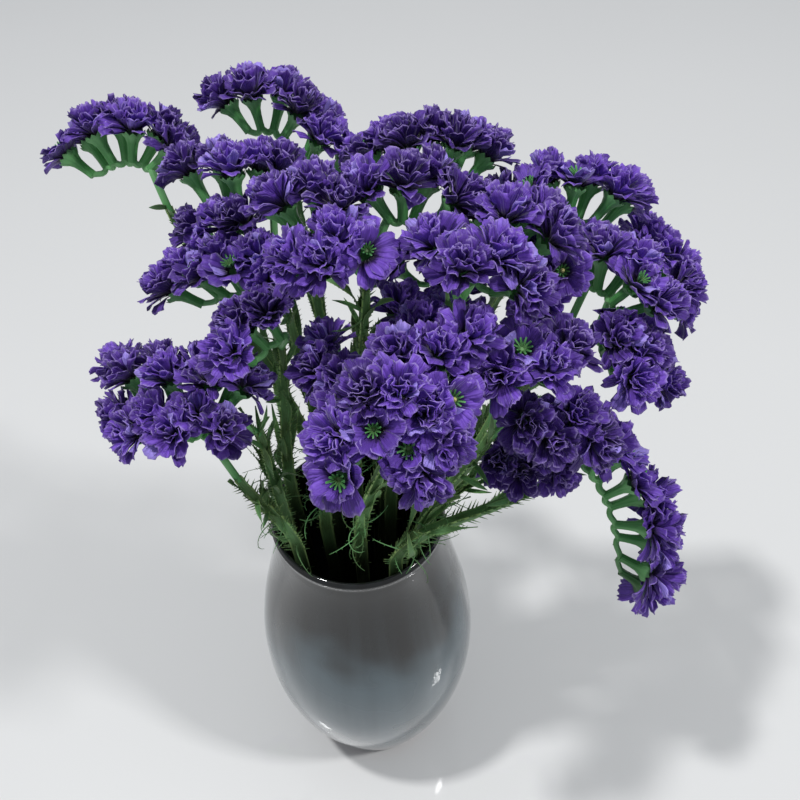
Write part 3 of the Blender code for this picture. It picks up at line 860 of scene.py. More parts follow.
def add_cup(surface, bloom, chance):
    """A faintly ribbed funnel with small pointed teeth on its rim, hollow down to its throat."""
    root, outward = bloom["root"], bloom["outward"]
    side, other = across(outward, SLANT)
    count = 2 * CUP_TEETH
    spin = chance.uniform(0, math.tau)
    size = chance.uniform(*CUP_SIZES)

    def ring(height, radius, jag=0):
        points = []
        for i in range(count):
            turn = math.tau * i / count
            tooth = jag * (i % 2)
            reach = size * radius * (1 + RIB_DEPTH * math.cos(CUP_RIBS * turn))
            reach += tooth * CUP_TOOTH_SPREAD
            way = turned(side, other, spin + turn)
            point = root + way * reach + outward * (height + tooth * CUP_TOOTH_LENGTH)
            soft = height > CUP_SOFT_FROM
            points.append(pressed(point, bloom["heart"], bloom["walls"]) if soft else point)
        return points

    rows = []
    for height, radius in CUP_PROFILE:
        paint = [(CUP_RIBS * i / count, height / CUP_LENGTH, CUP_TONE) for i in range(count)]
        rows.append((ring(height, radius), paint))
    top_height, top_radius = CUP_PROFILE[-1]
    rise, flare = CUP_TOOTH_ROOT
    rows.append((ring(top_height + rise, top_radius + flare, 1), [(0, 1.3, CUP_TONE)] * count))
    rows.append((ring(top_height, top_radius - CUP_SHELL), [(0, 1, CUP_TONE)] * count))
    rows.append((ring(top_height - CUP_SINK, CUP_THROAT), [(0, 0.4, CUP_TONE)] * count))
    surface.add_grid(rows, closed=True)


print("rings of a cup:", len(CUP_PROFILE) + 3)

# %% [markdown]
# ## Star and eye
#
# Looking straight into an open bloom, a green star shows in its middle, with ten short rays
# of uneven length, and in some a tiny yellow eye. Both are small, but in the front of the
# bunch they catch the eye first, so each is a real little shape and not paint. The star is
# two flat rings of corners, three to a ray, between a root and a sunken middle.

# %% Grow the star
STAR_RAYS = 10
STAR_REACH = 4.6
STAR_NOTCH = 1.7
STAR_CORNERS = (0.14, 0.5, 0.86)
STAR_RISE = 0.42
STAR_LIFT = 1.5
STAR_THICKNESS = 0.35
STAR_BEVEL = 0.97
STAR_ROOT = (0.9, -2.5)
STAR_MIDDLE = (0.8, -1.0)
STAR_SIZES = (0.55, 0.85)
RAY_LENGTHS = (0.6, 1.1)
NOTCH_SHADE = 0.1
RAY_SHADE = 0.95
EYE_RADIUS = 0.9
EYE_SHARE = 0.3
EYE_SIDES = 7
EYE_SECTION = ((-1.0, 0.7), (-0.2, 1.0), (0.6, 0.9), (1.2, 0.35))


def add_star(surface, bloom, chance):
    """The green star in the middle of an open bloom, and sometimes its eye."""
    outward = bloom["outward"]
    side, other = across(outward, SLANT)
    centre = bloom["base"] + outward * BLOOM_DEPTH * STAR_RISE
    spin = chance.uniform(0, math.tau)
    count = 3 * STAR_RAYS
    size = chance.uniform(*STAR_SIZES)
    uneven = [chance.uniform(*RAY_LENGTHS) for _ in range(STAR_RAYS)]

    def ring(reach, notch, lift, rise):
        points = []
        for i in range(count):
            turn = spin + math.tau * (i // 3 + STAR_CORNERS[i % 3]) / STAR_RAYS
            share = uneven[(i + 1) // 3 % STAR_RAYS]
            distance = size * (notch if i % 3 == 1 else notch + (reach - notch) * share)
            way = turned(side, other, turn)
            point = centre + way * distance + outward * (rise + lift * share * (i % 3 != 1))
            points.append(pressed(point, bloom["heart"], bloom["walls"]))
        return points

    def round_ring(radius, height):
        return ring(radius, radius, 0, height), [(0, 0, STALK_TONE)] * count

    shades = [(0, NOTCH_SHADE if i % 3 == 1 else RAY_SHADE, CUP_TONE) for i in range(count)]
    rows = [
        round_ring(*STAR_ROOT),
        (ring(STAR_REACH, STAR_NOTCH, STAR_LIFT, 0), shades),
        (ring(STAR_REACH * STAR_BEVEL, STAR_NOTCH, STAR_LIFT, STAR_THICKNESS), shades),
        round_ring(*STAR_MIDDLE),
    ]
    surface.add_grid(rows, closed=True)
    if chance.random() < EYE_SHARE:
        line = [centre + outward * height for height, _ in EYE_SECTION]
        radii = [EYE_RADIUS * share for _, share in EYE_SECTION]
        add_tube(surface, line, radii, EYE_SIDES, EYE_TONE, SLANT)


print("rays of a star:", STAR_RAYS)

# %% [markdown]
# ## Leaves and fibres at the mouth
#
# Where the stems leave the vase hang the last of their leaves, narrow and curled, and a
# tangle of dry, wiry fibres with small side hairs. Smaller leaves shoot from the stalks all
# the way up, and bare blades stand at the forks. Each leaf is a folded blade that tapers to
# a point, and a fibre is a thin tube along a curl. A simulation would give no better tangle
# than a few seeded curls, and these always come out the same.

# %% Grow a leaf
LEAF_WIDTH = 3.0
LEAF_TIP_WIDTH = 0.5
LEAF_ROOT_SHARE = 0.1
LEAF_THICKNESS = 0.8
LEAF_THINNING = 0.6
LEAF_STEPS = 16
LEAF_SWING = 0.9
LEAF_SWING_WAVE = 5
LEAF_FOLD = 0.8
LEAF_FOLD_WAVE = 8
LEAF_GRAIN = 3
LEAF_BARE_POINTS = 6
LEAF_TOOTH_LENGTH = (0.8, 1.7)
LEAF_TOOTH_WIDTH = 0.3
LEAF_TOOTH_LEAN = 0.8
LEAF_TOOTH_SINK = 0.2


def add_leaf(surface, root, aim, length, curl, chance):
    """A narrow folded blade that swings from side to side, with toothed edges."""
    side, _ = across(aim)
    swing = chance.uniform(0, math.tau)
    rows, edge = [], []
    for i in range(LEAF_STEPS + 1):
        share = i / LEAF_STEPS
        turn = Matrix.Rotation(-math.radians(curl) * share * share, 3, side)
        sway = side * LEAF_SWING * share * math.sin(swing + share * LEAF_SWING_WAVE)
        centre = root + turn @ aim * length * share + sway
        normal = side.cross(turn @ aim).normalized()
        swell = math.sin(math.pi * (LEAF_ROOT_SHARE + (1 - LEAF_ROOT_SHARE) * share))
        width = (LEAF_WIDTH * swell + LEAF_TIP_WIDTH) / 2
        thick = normal * LEAF_THICKNESS / 2 * (1 - LEAF_THINNING * share)
        fold = normal * LEAF_FOLD * math.sin(swing + share * LEAF_FOLD_WAVE)
        ring = [centre - side * width + fold, centre - thick, centre + side * width - fold,
                centre + thick]
        rows.append((ring, [(a, share * LEAF_GRAIN, STALK_TONE) for a in (1, 0, 1, 0)]))
        edge.append((ring[0], -side, turn @ aim))
        edge.append((ring[2], side, turn @ aim))
    surface.add_grid(rows, closed=True)
    toothed = edge[LEAF_BARE_POINTS:-LEAF_BARE_POINTS]
    for spot, way, ahead in toothed[::2] + toothed[1::2]:
        lean = (way + ahead * LEAF_TOOTH_LEAN).normalized()
        reach = chance.uniform(*LEAF_TOOTH_LENGTH)
        spot = spot - way * LEAF_TOOTH_SINK
        add_spike(surface, spot, lean, reach, LEAF_TOOTH_WIDTH, STALK_TONE)


print("a leaf is", LEAF_WIDTH + LEAF_TIP_WIDTH, "mm wide")

# %% Grow a blade
BLADE_WIDTH = LEAF_WIDTH * 0.4
BLADE_TIP_WIDTH = 0.1
BLADE_ROOT_SHARE = 0.15
BLADE_THICKNESS = 0.3
BLADE_STEPS = 6
BLADE_BENDS = (0.2, 1.2)
BLADE_SAG = 0.3
BLADE_TONE = CUP_TONE * 0.4


def add_blade(surface, root, aim, length, chance):
    """A small bare leaf of a fork, narrow and pointed."""
    way = turned(*across(aim), chance.uniform(0, math.tau))
    flat = aim.cross(way)
    bend = chance.uniform(*BLADE_BENDS)
    rows = []
    for i in range(BLADE_STEPS + 1):
        share = i / BLADE_STEPS
        centre = root + aim * length * share + flat * bend * length * BLADE_SAG * share * share
        swell = math.sin(math.pi * (BLADE_ROOT_SHARE + (1 - BLADE_ROOT_SHARE) * share))
        width = way * (BLADE_WIDTH * swell + BLADE_TIP_WIDTH)
        thick = flat * BLADE_THICKNESS * (1 - LEAF_THINNING * share)
        ring = [centre - width, centre - thick, centre + width, centre + thick]
        rows.append((ring, [(a, share, BLADE_TONE) for a in (1, 0, 1, 0)]))
    surface.add_grid(rows, closed=True)


print("a blade is", round(2 * (BLADE_WIDTH + BLADE_TIP_WIDTH), 2), "mm wide")

# %% Grow a fibre
FIBRE_RADIUS = 0.34
FIBRE_THINNING = 0.7
FIBRE_STEPS = 16
FIBRE_SIDES = 4
FIBRE_BENDS = (0.8, 3.4)
FIBRE_CURL = 1.4
FIBRE_TONES = (STALK_TONE, STALK_TONE + 0.45)
HAIR_LENGTH = (0.8, 1.6)
HAIR_WIDTH = 0.16
HAIR_LEAN = 0.6


def add_fibre(surface, root, aim, length, chance):
    """A wiry curl with a few hairs on it."""
    bend = chance.uniform(*FIBRE_BENDS) * chance.choice((-1, 1))
    way = turned(*across(aim), chance.uniform(0, math.tau))
    line, centre, step = [], root, length / FIBRE_STEPS
    for i in range(FIBRE_STEPS + 1):
        line.append(centre)
        angle = bend * (i / FIBRE_STEPS) ** FIBRE_CURL
        centre = centre + turned(aim, way, angle) * step
    thinning = [FIBRE_THINNING * i / FIBRE_STEPS for i in range(FIBRE_STEPS + 1)]
    tone = chance.uniform(*FIBRE_TONES)
    add_tube(surface, line, [FIBRE_RADIUS * (1 - part) for part in thinning], FIBRE_SIDES, tone)
    for i in range(2, FIBRE_STEPS, 2):
        beside = across(line[i + 1] - line[i])[0] * chance.choice((-1, 1))
        hair = (beside + aim * HAIR_LEAN).normalized()
        add_spike(surface, line[i], hair, chance.uniform(*HAIR_LENGTH), HAIR_WIDTH, tone)


print("hairs on a fibre:", len(range(2, FIBRE_STEPS, 2)))

# %% [markdown]
# ## Making room
#
# Blooms in a spray grow against one another, and petals give way where they touch. Each bloom
# is a bundle of rays from its heart. A flat wall stands half way to every neighbour and in
# front of every stalk or cup near it, and a point that would lie past a wall is drawn back
# along its own ray until it is inside. The solids follow the same rule. The petals may press
# a little further into each other than the solids do, because thin sheets can interleave.

# %% Walls between blooms
PRESS = 4.2
PRESS_OTHER = 1.2
LEAST_ROOM = 0.5
BLOOM_REACH = 1.12


class Rod:
    """A straight rod with round ends that blooms keep clear of."""

    def __init__(self, start, end, radius, owner):
        self.start, self.end, self.radius, self.owner = start, end, radius, owner

    def nearest(self, point):
        run = self.end - self.start
        share = (point - self.start).dot(run) / max(run.length_squared, 1e-9)
        return self.start + run * min(max(share, 0), 1)


def walls_round(bloom, blooms, rods):
    """The planes that keep a bloom off its neighbours: (point, outward normal) each."""
    walls = []
    reach = BLOOM_RADIUS * BLOOM_REACH
    for other in blooms:
        gap = other["heart"] - bloom["heart"]
        if other is bloom or gap.length > 2 * reach:
            continue
        normal = gap.normalized()
        overlap = PRESS if other["spray"] == bloom["spray"] else PRESS_OTHER
        walls.append((bloom["heart"] + gap / 2 + normal * overlap, normal))
    for rod in rods:
        touch = rod.nearest(bloom["heart"])
        gap = touch - bloom["heart"]
        if rod.owner == bloom["key"] or gap.length > reach + rod.radius:
            continue
        normal = gap.normalized()
        walls.append((touch - normal * rod.radius, normal))
    return walls


def pressed(point, heart, walls):
    """The point drawn in towards the heart until it is inside every wall."""
    share = 1.0
    for spot, normal in walls:
        depth = (point - heart).dot(normal)
        room = (spot - heart).dot(normal)
        if depth > LEAST_ROOM and depth * share > room:
            share = max(room, LEAST_ROOM) / depth
    return heart + (point - heart) * share


print("hearts get a wall between them within", round(2 * BLOOM_RADIUS * BLOOM_REACH, 1), "mm")

# %% Place the blooms and the rods
STALK_ROD = 1.05
RACHIS_ROD = 0.72
CUP_ROD = 1.25
RINGS_A_ROD = 8

blooms, rods = [], []
for name, stem in STEMS.items():
    line = stalk_line(stem)[0][::RINGS_A_ROD]
    rods += [Rod(a, b, STALK_WING * STALK_ROD, name) for a, b in zip(line, line[1:])]
    for number, spray in enumerate(stem["sprays"]):
        cups = spray_cups(spray)
        route = [Vector(stem["fork"])] + [root for root, _ in cups]
        rods += [Rod(a, b, RACHIS_WIDTH * RACHIS_ROD, name) for a, b in zip(route, route[1:])]
        for turn, (root, outward) in enumerate(cups):
            key = (name, number, turn)
            top = root + outward * (CUP_LENGTH - CUP_MOUTH)
            rods.append(Rod(root, top, CUP_MOUTH * CUP_ROD, key))
            base = root + outward * (CUP_LENGTH + CLEARANCE)
            blooms.append({
                "key": key, "spray": (name, number), "root": root, "base": base,
                "outward": outward, "heart": base + outward * BLOOM_DEPTH * HEART_RISE,
            })
print("blooms:", len(blooms), "rods:", len(rods))

# %% [markdown]
# Most blooms are closed tufts. Some stand open and show their star: a few by chance, and those
# in the front of the bunch by name, as (stem, spray, place in the spray from its root).

# %% Set the walls and open some blooms
OPEN_SHARE = 0.08
OPEN_BLOOMS = (
    ("front", 0, 4), ("front", 0, 2), ("front", 1, 3), ("front_right", 0, 2),
    ("centre_top", 2, 0), ("right_inner", 2, 1), ("right_inner", 1, 0), ("left_middle", 0, 4),
)

chance = random.Random(3)
for bloom in blooms:
    bloom["walls"] = walls_round(bloom, blooms, rods)
    bloom["open"] = chance.random() < OPEN_SHARE or bloom["key"] in OPEN_BLOOMS
print("walls:", sum(len(bloom["walls"]) for bloom in blooms))
print("open blooms:", sum(bloom["open"] for bloom in blooms))

# %% [markdown]
# ## Green finish
#
# The stalks are a dull olive green with paler wing edges, and the cups and stepped stalks a
# fresher green. Fibres run along them as fine streaks. The paler wing edges are partly the
# wings' own colour and partly a painted highlight where light catches them. Inside the vase
# and just above its mouth every green part is painted nearly black, as painted shade. One
# material serves all the green parts, because the tone in the paint tells it which part it is
# on. Most pairs below are where one look starts to give way to the next and where it has done
# so.

# %% Colour the green parts
STALK_GREEN = (0.062, 0.102, 0.026)
WING_GREEN_AND_HIGHLIGHT = (0.36, 0.48, 0.16)
STALK_SHADED = (0.026, 0.038, 0.016)
CUP_GREEN = (0.055, 0.270, 0.062)
CUP_PALE = (0.21, 0.50, 0.20)
EYE_YELLOW = (0.62, 0.58, 0.22)
WING_BAND = (0.55, 1.1)
PALE_RIM_BAND = (0.6, 1.2)
PALE_RIM_SHARES = (0.0, 0.7)
FRESH_TONES = (0.1, 0.55)
EYE_TONES = (0.8, 0.95)
PAINTED_SHADE_HEIGHTS = (0.172, 0.222)
CLOUD_SHARE = 0.30
FIBRE_SHARE = 0.32

green, tree, shader = new_finish("stalk_green", 0.5, Specular_IOR_Level=0.35)
reach, along, tone, paint = read_paint(tree)
spot = read_place(tree)
cloudy = use_group(tree, mottle, spot, Scale=90.0, Detail=4.0)
fibrous = use_group(tree, streaks, paint, Count=5.0, Length=0.7)
# Wing edges: partly the wings' own paler colour, partly painted highlight where light catches
# them.
old = mix_colours(tree, remap(tree, reach, *WING_BAND), STALK_GREEN, WING_GREEN_AND_HIGHLIGHT)
pale_rim = remap(tree, along, *PALE_RIM_BAND, *PALE_RIM_SHARES)
fresh = mix_colours(tree, pale_rim, CUP_GREEN, CUP_PALE)
body = mix_colours(tree, remap(tree, tone, *FRESH_TONES), old, fresh)
lighter = calculate(tree, "ADD", calculate(tree, "MULTIPLY", cloudy, CLOUD_SHARE),
                    calculate(tree, "MULTIPLY", fibrous, FIBRE_SHARE))
body = mix_colours(tree, lighter, body, CUP_PALE)
body = mix_colours(tree, remap(tree, tone, *EYE_TONES), body, EYE_YELLOW)
# Painted shade: below the vase's rim and a little above it, every green part is darkened to
# STALK_SHADED.
level = node(tree, "ShaderNodeSeparateXYZ", Vector=spot).outputs["Z"]
body = mix_colours(tree, remap(tree, level, *PAINTED_SHADE_HEIGHTS), STALK_SHADED, body)
tree.links.new(body, shader.inputs["Base Color"])
add_relief(tree, shader, calculate(tree, "ADD", fibrous, cloudy), 0.0002, 0.5)
print("material:", green.name)

# %% [markdown]
# One piece holds a whole stem, as its solid does. The leaves and fibres are set along the
# stalk's line by seeded draws, so that every run gives the same bunch. A small side leaf
# shoots forwards along its stalk and a little aside, and it is shorter the higher it grows.
# Fibres stand out from the vase's axis, just above its mouth.

# %% Set leaves and fibres on a stalk
BLADES_A_FORK = 2
BLADE_LENGTH = (10, 20)
BLADE_RISES = (10, 70)
FORK_RINGS = 22
SHOOTS_A_STEM = 7
SHOOT_LENGTH = (20, 46)
SHOOT_SHARES = (0.03, 0.85)
SHOOT_RISES = (5, 70)
SHOOT_SPREAD = 0.34
SHOOT_CURL = 28
SHOOT_SHORTENING = 0.35
FIBRES_A_STEM = 10
FIBRE_LENGTH = (10, 24)
FIBRE_RISES = (-5, 60)
FIBRE_SWING = 70
FIBRE_RINGS = (2, 16)


def add_blades(surface, line, count, chance):
    """Bare blades that stand in every direction near the fork."""
    for _ in range(count):
        root = line[len(line) - 1 - chance.randrange(0, FORK_RINGS)]
        way = facing(chance.uniform(0, 360), chance.uniform(*BLADE_RISES))
        add_blade(surface, root, way, chance.uniform(*BLADE_LENGTH), chance)


def add_shoots(surface, line, count, chance):
    """Small toothed leaves all along the stalk."""
    for _ in range(count):
        share = chance.uniform(*SHOOT_SHARES)
        k = RINGS_IN_VASE + int(share * (len(line) - RINGS_IN_VASE - 2))
        way = (line[k + 1] - line[k]).normalized()
        aside = facing(chance.uniform(0, 360), chance.uniform(*SHOOT_RISES)) * SHOOT_SPREAD
        curl = chance.uniform(-SHOOT_CURL, SHOOT_CURL)
        length = chance.uniform(*SHOOT_LENGTH) * (1 - SHOOT_SHORTENING * share)
        add_leaf(surface, line[k], (way + aside).normalized(), length, curl, chance)


def add_fibres(surface, line, chance):
    """Wiry fibres where the stalk leaves the vase."""
    for _ in range(FIBRES_A_STEM):
        root = line[RINGS_IN_VASE + chance.randrange(*FIBRE_RINGS)]
        bearing = math.degrees(math.atan2(root.y, root.x))
        bearing += chance.uniform(-FIBRE_SWING, FIBRE_SWING)
        way = facing(bearing, chance.uniform(*FIBRE_RISES))
        add_fibre(surface, root, way, chance.uniform(*FIBRE_LENGTH), chance)


print("side leaves:", sum(stem.get("shoots", SHOOTS_A_STEM) for stem in STEMS.values()))

# %% Grow the green pieces
chance = random.Random(11)
for name, stem in STEMS.items():
    surface = Surface()
    line = add_stalk(surface, stem, chance)
    aim = (line[-1] - line[-2]).normalized()
    for number, spray in enumerate(stem["sprays"]):
        depth = SPRAY_ROOT_DEPTH + SPRAY_ROOT_STEP * number
        add_flowering_stalk(surface, line[-1] - aim * depth, spray_cups(spray))
    for bloom in blooms:
        if bloom["key"][0] == name:
            add_cup(surface, bloom, chance)
            if bloom["open"]:
                add_star(surface, bloom, chance)
    add_blades(surface, line, BLADES_A_FORK * len(stem["sprays"]), chance)
    add_shoots(surface, line, stem.get("shoots", SHOOTS_A_STEM), chance)
    if "leaf" in stem:
        share, bearing, rise, length, curl = stem["leaf"]
        root = line[RINGS_IN_VASE].lerp(line[-1], share)
        add_leaf(surface, root, facing(bearing, rise), length, curl, chance)
    add_fibres(surface, line, chance)
    dress(surface.make("stalks_" + name, green, 45), "stalk_green", "stem_" + name)
print("green pieces:", len(STEMS))

# %% [markdown]
# ## Petals
#
# A bloom is a tuft of papery petals that fan out of its cup. A petal is narrow in the throat
# and wide near its tip, where it is rounded, finely toothed and often nicked in the middle.
# Rings of petals look like a rose. Statice looks looser, so each petal is turned by the golden
# angle from the one before, as seeds are in a sunflower: no two lie over one another. The
# first ones droop over the cup and the last ones stand upright. Each is cupped, twisted,
# tipped and ruffled in its own way. An open bloom has fewer, broader petals that lie flatter,
# so its star shows, and the blooms that hang over the vase's side are longer and droop more.
# Cloth could be simulated, but crinkle this fine is steadier as a formula.
#
# A bloom is described by what its first and its last petal have: the slope of their tip, how
# far from the axis and how high they start, their length and their breadth. The petals in
# between change evenly from one to the other.

# %% Describe the blooms
CLOSED_BLOOM = {
    "petals": 35, "slope": (-4, 86), "start": (2.6, 0.6), "rise": (0.2, 2.5),
    "length": (12.2, 11.6), "breadth": (6.2, 5.0),
}
OPEN_BLOOM = {
    "petals": 16, "slope": (-2, 50), "start": (2.4, 1.8), "rise": (0.4, 1.6),
    "length": (12.0, 9.4), "breadth": (9.2, 6.2),
}
HANGING_BLOOM = {**CLOSED_BLOOM, "slope": (-50, 84), "length": (12.8, 14.4)}
HANGING_STEM = "right_low"
print("petals in a closed and an open bloom:", CLOSED_BLOOM["petals"], OPEN_BLOOM["petals"])

# %% Grow a petal
PETAL_COLUMNS = 6
PETAL_ROWS = 4
PETAL_LENGTHS = (0.85, 1.08)
PETAL_BREADTHS = (0.80, 1.15)
THROAT_WIDTH = 0.30
WIDEST_AT = 0.85
TIP_ROUNDING = 0.24
TIP_FULLNESS = 0.94
EDGE_TEETH = 0.35
NICK = 0.7
TILT = 20
TWIST = 38
SKEW = 0.10
UPRIGHT = 0.5
CUPPING = (-0.9, 1.3)
RUFFLE = 0.7
WAVES = 4.2
CRINKLE = 0.8
CRINKLE_SCALE = 0.35
VEIN_PATTERNS = 50


def add_petal(surface, bloom, axis, petal, bearing, tone, chance):
    """One petal, from the throat of its bloom to the toothed tip."""
    radial = turned(*across(axis, SLANT), bearing)
    beside = axis.cross(radial)
    length = petal["length"] * chance.uniform(*PETAL_LENGTHS)
    breadth = petal["breadth"] * chance.uniform(*PETAL_BREADTHS)
    last_slope = petal["slope"] + chance.uniform(-TILT, TILT)
    twist = math.radians(chance.uniform(-TWIST, TWIST))
    skew = chance.uniform(-SKEW, SKEW) * length
    cup = chance.uniform(*CUPPING)
    wave = chance.uniform(0, math.tau)
    nick = chance.uniform(0, NICK)
    number = chance.randrange(VEIN_PATTERNS)
    distance, height = petal["start"], petal["rise"]
    rows = []
    for j in range(PETAL_ROWS + 1):
        share = j / PETAL_ROWS
        slope = math.radians(last_slope + (90 - last_slope) * UPRIGHT * (1 - share))
        ahead = turned(radial, axis, slope)
        inward = axis * math.cos(slope) - radial * math.sin(slope)
        if j:
            distance += math.cos(slope) * length / PETAL_ROWS
            height += math.sin(slope) * length / PETAL_ROWS
        spread = math.sin(math.pi / 2 * min(share / WIDEST_AT, 1))
        spread = THROAT_WIDTH + (1 - THROAT_WIDTH) * spread
        sideways = turned(beside, inward, twist * share)
        centre = bloom["base"] + radial * distance + axis * height + beside * skew * share * share
        points, paint = [], []
        for i in range(PETAL_COLUMNS + 1):
            across_share = 2 * i / PETAL_COLUMNS - 1
            round_off = 1 - math.sqrt(1 - TIP_FULLNESS * across_share ** 2)
            back = TIP_ROUNDING * length * share * share * round_off
            if j == PETAL_ROWS:
                back += EDGE_TEETH * (i % 2) + nick * (across_share == 0)
            ruffle = RUFFLE * share * share * math.sin(wave + WAVES * across_share)
            lift = cup * across_share ** 2 * share + ruffle
            spot = centre + sideways * across_share * breadth / 2 * spread
            spot += inward * lift - ahead * back
            spot += noise.noise_vector(spot * CRINKLE_SCALE) * CRINKLE * share
            points.append(pressed(spot, bloom["heart"], bloom["walls"]))
            paint.append((number + i / PETAL_COLUMNS, share, tone))
        rows.append((points, paint))
    surface.add_grid(rows)


print("points in a petal:", (PETAL_ROWS + 1) * (PETAL_COLUMNS + 1))

# %% Grow a bloom
GOLDEN_ANGLE = math.radians(137.5)
BEARING_DRIFT = 0.5
TUFT_LEAN = 12
MOODS = (0.1, 0.9)
HANGING_PAINTED_LIGHT = 0.25
TONE_DRIFT = 0.3
PALE_PETALS = 0.045
PALE_TONE = 1.3
PETAL_MEASURES = ("slope", "start", "rise", "length", "breadth")


def add_bloom(surface, bloom, chance):
    """The petals of a bloom, from the lowest and flattest to the steep ones of its heart.

    A bloom has a mood of its own, the tone that its petals are near to. Hanging ones are
    painted brighter, as painted light, because more light reaches them, and here and there a
    single petal is pale.
    """
    hanging = bloom["key"][0] == HANGING_STEM
    shape = OPEN_BLOOM if bloom["open"] else HANGING_BLOOM if hanging else CLOSED_BLOOM
    # Painted light: blooms of the hanging stem are painted brighter for the light that reaches
    # them.
    mood = chance.uniform(*MOODS) + HANGING_PAINTED_LIGHT * hanging
    spin = chance.uniform(0, math.tau)
    outward = bloom["outward"]
    lean = math.radians(chance.uniform(-TUFT_LEAN, TUFT_LEAN))
    axis = Matrix.Rotation(lean, 3, across(outward)[0]) @ outward
    for k in range(shape["petals"]):
        share = k / (shape["petals"] - 1)
        petal = {}
        for measure in PETAL_MEASURES:
            first, last = shape[measure]
            petal[measure] = first + (last - first) * share
        bearing = spin + k * GOLDEN_ANGLE + chance.uniform(-BEARING_DRIFT, BEARING_DRIFT)
        pale = chance.random() < PALE_PETALS
        tone = PALE_TONE if pale else mood + chance.uniform(-TONE_DRIFT, TONE_DRIFT)
        add_petal(surface, bloom, axis, petal, bearing, tone, chance)


print("petals:", sum((OPEN_BLOOM if b["open"] else CLOSED_BLOOM)["petals"] for b in blooms))

# %% [markdown]
# The petals are dry and papery: deep blue-violet, darkened towards the throat as painted shade
# where the petals of a tuft shade one another, brighter along the blade, with a pale, broken
# line at the very edge and fine veins that run out to it. The pale line is partly the petal's
# own paler rim and partly a painted highlight where light catches the edge. The paint tells how
# far across its petal each point lies, so the edge is found on the sides as well as at the
# tip. A little sheen stands for the fuzz that catches light when a petal is seen edge on.

# %% Colour the petals
PETAL_THROAT_SHADE = (0.028, 0.011, 0.062)
PETAL_DEEP = (0.046, 0.015, 0.175)
PETAL_BRIGHT = (0.200, 0.086, 0.600)
PETAL_PALE = (0.36, 0.27, 0.80)
PETAL_EDGE_AND_HIGHLIGHT = (0.46, 0.34, 0.78)
PALE_TONES = (1.1, 1.25)
THROAT_SHADE_BAND = (0.08, 0.60)
TIP_BAND = (0.90, 1.0)
SIDE_BAND = (0.45, 0.5)
SIDE_FROM_BAND = (0.4, 0.8)
EDGE_BREAKS = (0.15, 0.85)
EDGE_SHARES = (0.0, 0.58)
VEIN_SHARE = 0.4

purple, tree, shader = new_finish(
    "petal_purple", 0.5, Specular_IOR_Level=0.35, Sheen_Weight=0.15, Sheen_Roughness=0.4
)
count, along, tone, paint = read_paint(tree)
veins = use_group(tree, streaks, paint, Count=9.0, Length=0.9)
spot = read_place(tree)
cloudy = use_group(tree, mottle, spot, Scale=160.0, Detail=3.0)
body = mix_colours(tree, remap(tree, tone, 0.0, 1.0), PETAL_DEEP, PETAL_BRIGHT)
body = mix_colours(tree, calculate(tree, "MULTIPLY", veins, VEIN_SHARE), body, PETAL_DEEP)
body = mix_colours(tree, remap(tree, tone, *PALE_TONES), body, PETAL_PALE)
# Painted shade: each petal darkens towards its throat, where the tuft shades it.
body = mix_colours(tree, remap(tree, along, *THROAT_SHADE_BAND), PETAL_THROAT_SHADE, body)
# Pale edge: partly the petal's own paler rim, partly painted highlight where light catches it.
off_middle = calculate(tree, "ABSOLUTE", calculate(
    tree, "SUBTRACT", calculate(tree, "FRACT", count), 0.5))
side_edge = calculate(tree, "MULTIPLY", remap(tree, off_middle, *SIDE_BAND),
                      remap(tree, along, *SIDE_FROM_BAND))
edge = calculate(tree, "MAXIMUM", side_edge, remap(tree, along, *TIP_BAND))
broken = use_group(tree, mottle, spot, Scale=330.0, Detail=1.0)
edge = calculate(tree, "MULTIPLY", edge, remap(tree, broken, *EDGE_BREAKS, *EDGE_SHARES))
body = mix_colours(tree, edge, body, PETAL_EDGE_AND_HIGHLIGHT)
tree.links.new(body, shader.inputs["Base Color"])
add_relief(tree, shader, calculate(tree, "ADD", veins, cloudy), 0.0004, 0.8)
print("material:", purple.name)

# %% [markdown]
# Blender's noise starts from the clock unless it gets a seed, and the petals' crinkle would be
# another one in every run. So it is seeded here, next to the seed of the other draws.

# %% Grow the blooms
PETAL_THICKNESS = 0.2

noise.seed_set(7)
chance = random.Random(7)
for name, stem in STEMS.items():
    for number in range(len(stem["sprays"])):
        surface = Surface()
        for bloom in blooms:
            if bloom["spray"] == (name, number):
                add_bloom(surface, bloom, chance)
        label = name + "_" + "abc"[number]
        piece = surface.make("petals_" + label, purple, 180)
        thick = piece.modifiers.new("thickness", "SOLIDIFY")
        thick.thickness = PETAL_THICKNESS * MM
        thick.offset = 0
        dress(piece, "petal_purple", "blooms_" + label)
print("bloom pieces:", sum(len(stem["sprays"]) for stem in STEMS.values()))

# %% [markdown]
# ## Floor and light
#
# The vase stands on a pale, polished floor. Two small soft lamps hang high, one to the left
# and one further to the right and in front. Each throws a soft shadow to the far side of the
# bunch, and its mirror image in the polish puts a crisp light on the lower wall of the vase.
# An even pale sky fills the rest.

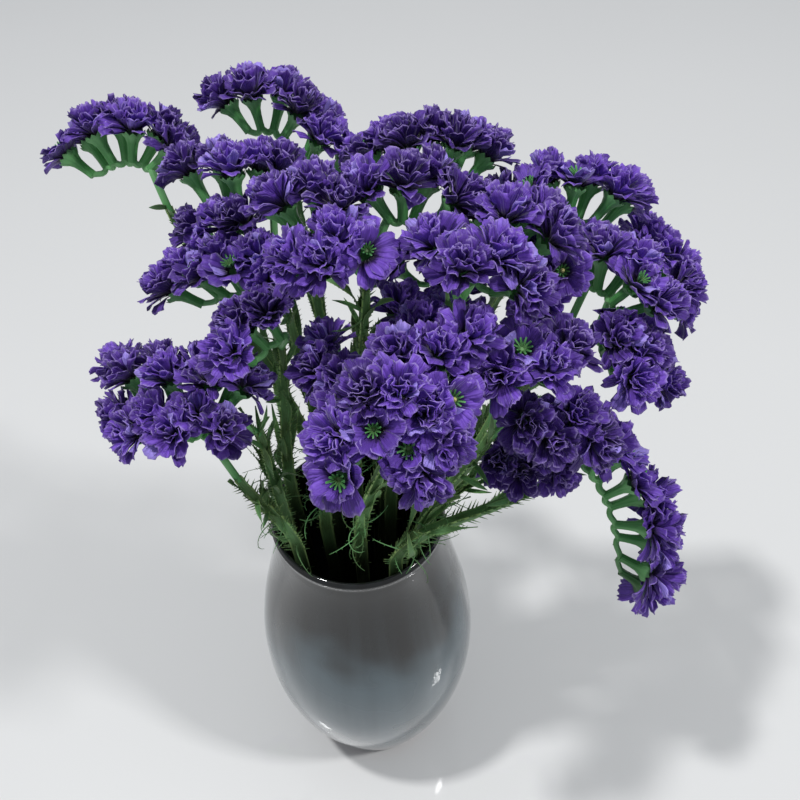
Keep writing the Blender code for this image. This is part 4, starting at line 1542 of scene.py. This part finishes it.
# %% Lay the floor
FLOOR_SIZE = 6.0
FLOOR_PALE = (0.77, 0.77, 0.765)
FLOOR_LIGHT = (0.9, 0.9, 0.9)
FLOOR_CLOUDS = 0.06

floor_finish, tree, shader = new_finish(
    "pale_floor", 0.35, Specular_IOR_Level=0.4, Coat_Weight=1.0, Coat_Roughness=0.02
)
cloudy = use_group(tree, mottle, read_place(tree), Scale=3.0, Detail=2.0)
faint = calculate(tree, "MULTIPLY", cloudy, FLOOR_CLOUDS)
pale = mix_colours(tree, faint, FLOOR_PALE, FLOOR_LIGHT)
tree.links.new(pale, shader.inputs["Base Color"])
sheet = bpy.data.meshes.new("floor")
half = FLOOR_SIZE / 2
corners = [(-half, -half, 0), (half, -half, 0), (half, half, 0), (-half, half, 0)]
sheet.from_pydata(corners, [], [(0, 1, 2, 3)])
sheet.materials.append(floor_finish)
floor = bpy.data.objects.new("floor", sheet)
bpy.context.scene.collection.objects.link(floor)
print("floor:", FLOOR_SIZE, "m square")

# %% Hang the lamps
LAMPS = {
    "lamp_left": {"place": (-0.72, -0.09, 2.32), "power": 25, "size": 0.15},
    "lamp_right": {"place": (1.62, -0.58, 2.32), "power": 28, "size": 0.28},
}
LAMP_TARGET = Vector((0.02, 0.03, 0.22))
SKY_PALE = (0.86, 0.90, 0.95, 1)
SKY_STRENGTH = 0.42


def hang_lamp(name, place, power, size):
    """A square lamp at a place in metres, turned towards the heart of the bunch."""
    light = bpy.data.lights.new(name, "AREA")
    light.energy = power
    light.size = size
    lamp = bpy.data.objects.new(name, light)
    lamp.location = place
    lamp.rotation_euler = (LAMP_TARGET - Vector(place)).to_track_quat("-Z", "Y").to_euler()
    bpy.context.scene.collection.objects.link(lamp)


for name, lamp in LAMPS.items():
    hang_lamp(name, **lamp)
sky = bpy.data.worlds.new("sky")
sky.use_nodes = True
sky.node_tree.nodes["Background"].inputs["Color"].default_value = SKY_PALE
sky.node_tree.nodes["Background"].inputs["Strength"].default_value = SKY_STRENGTH
bpy.context.scene.world = sky
bpy.context.scene.view_settings.view_transform = "Standard"
print("lamps:", list(LAMPS))
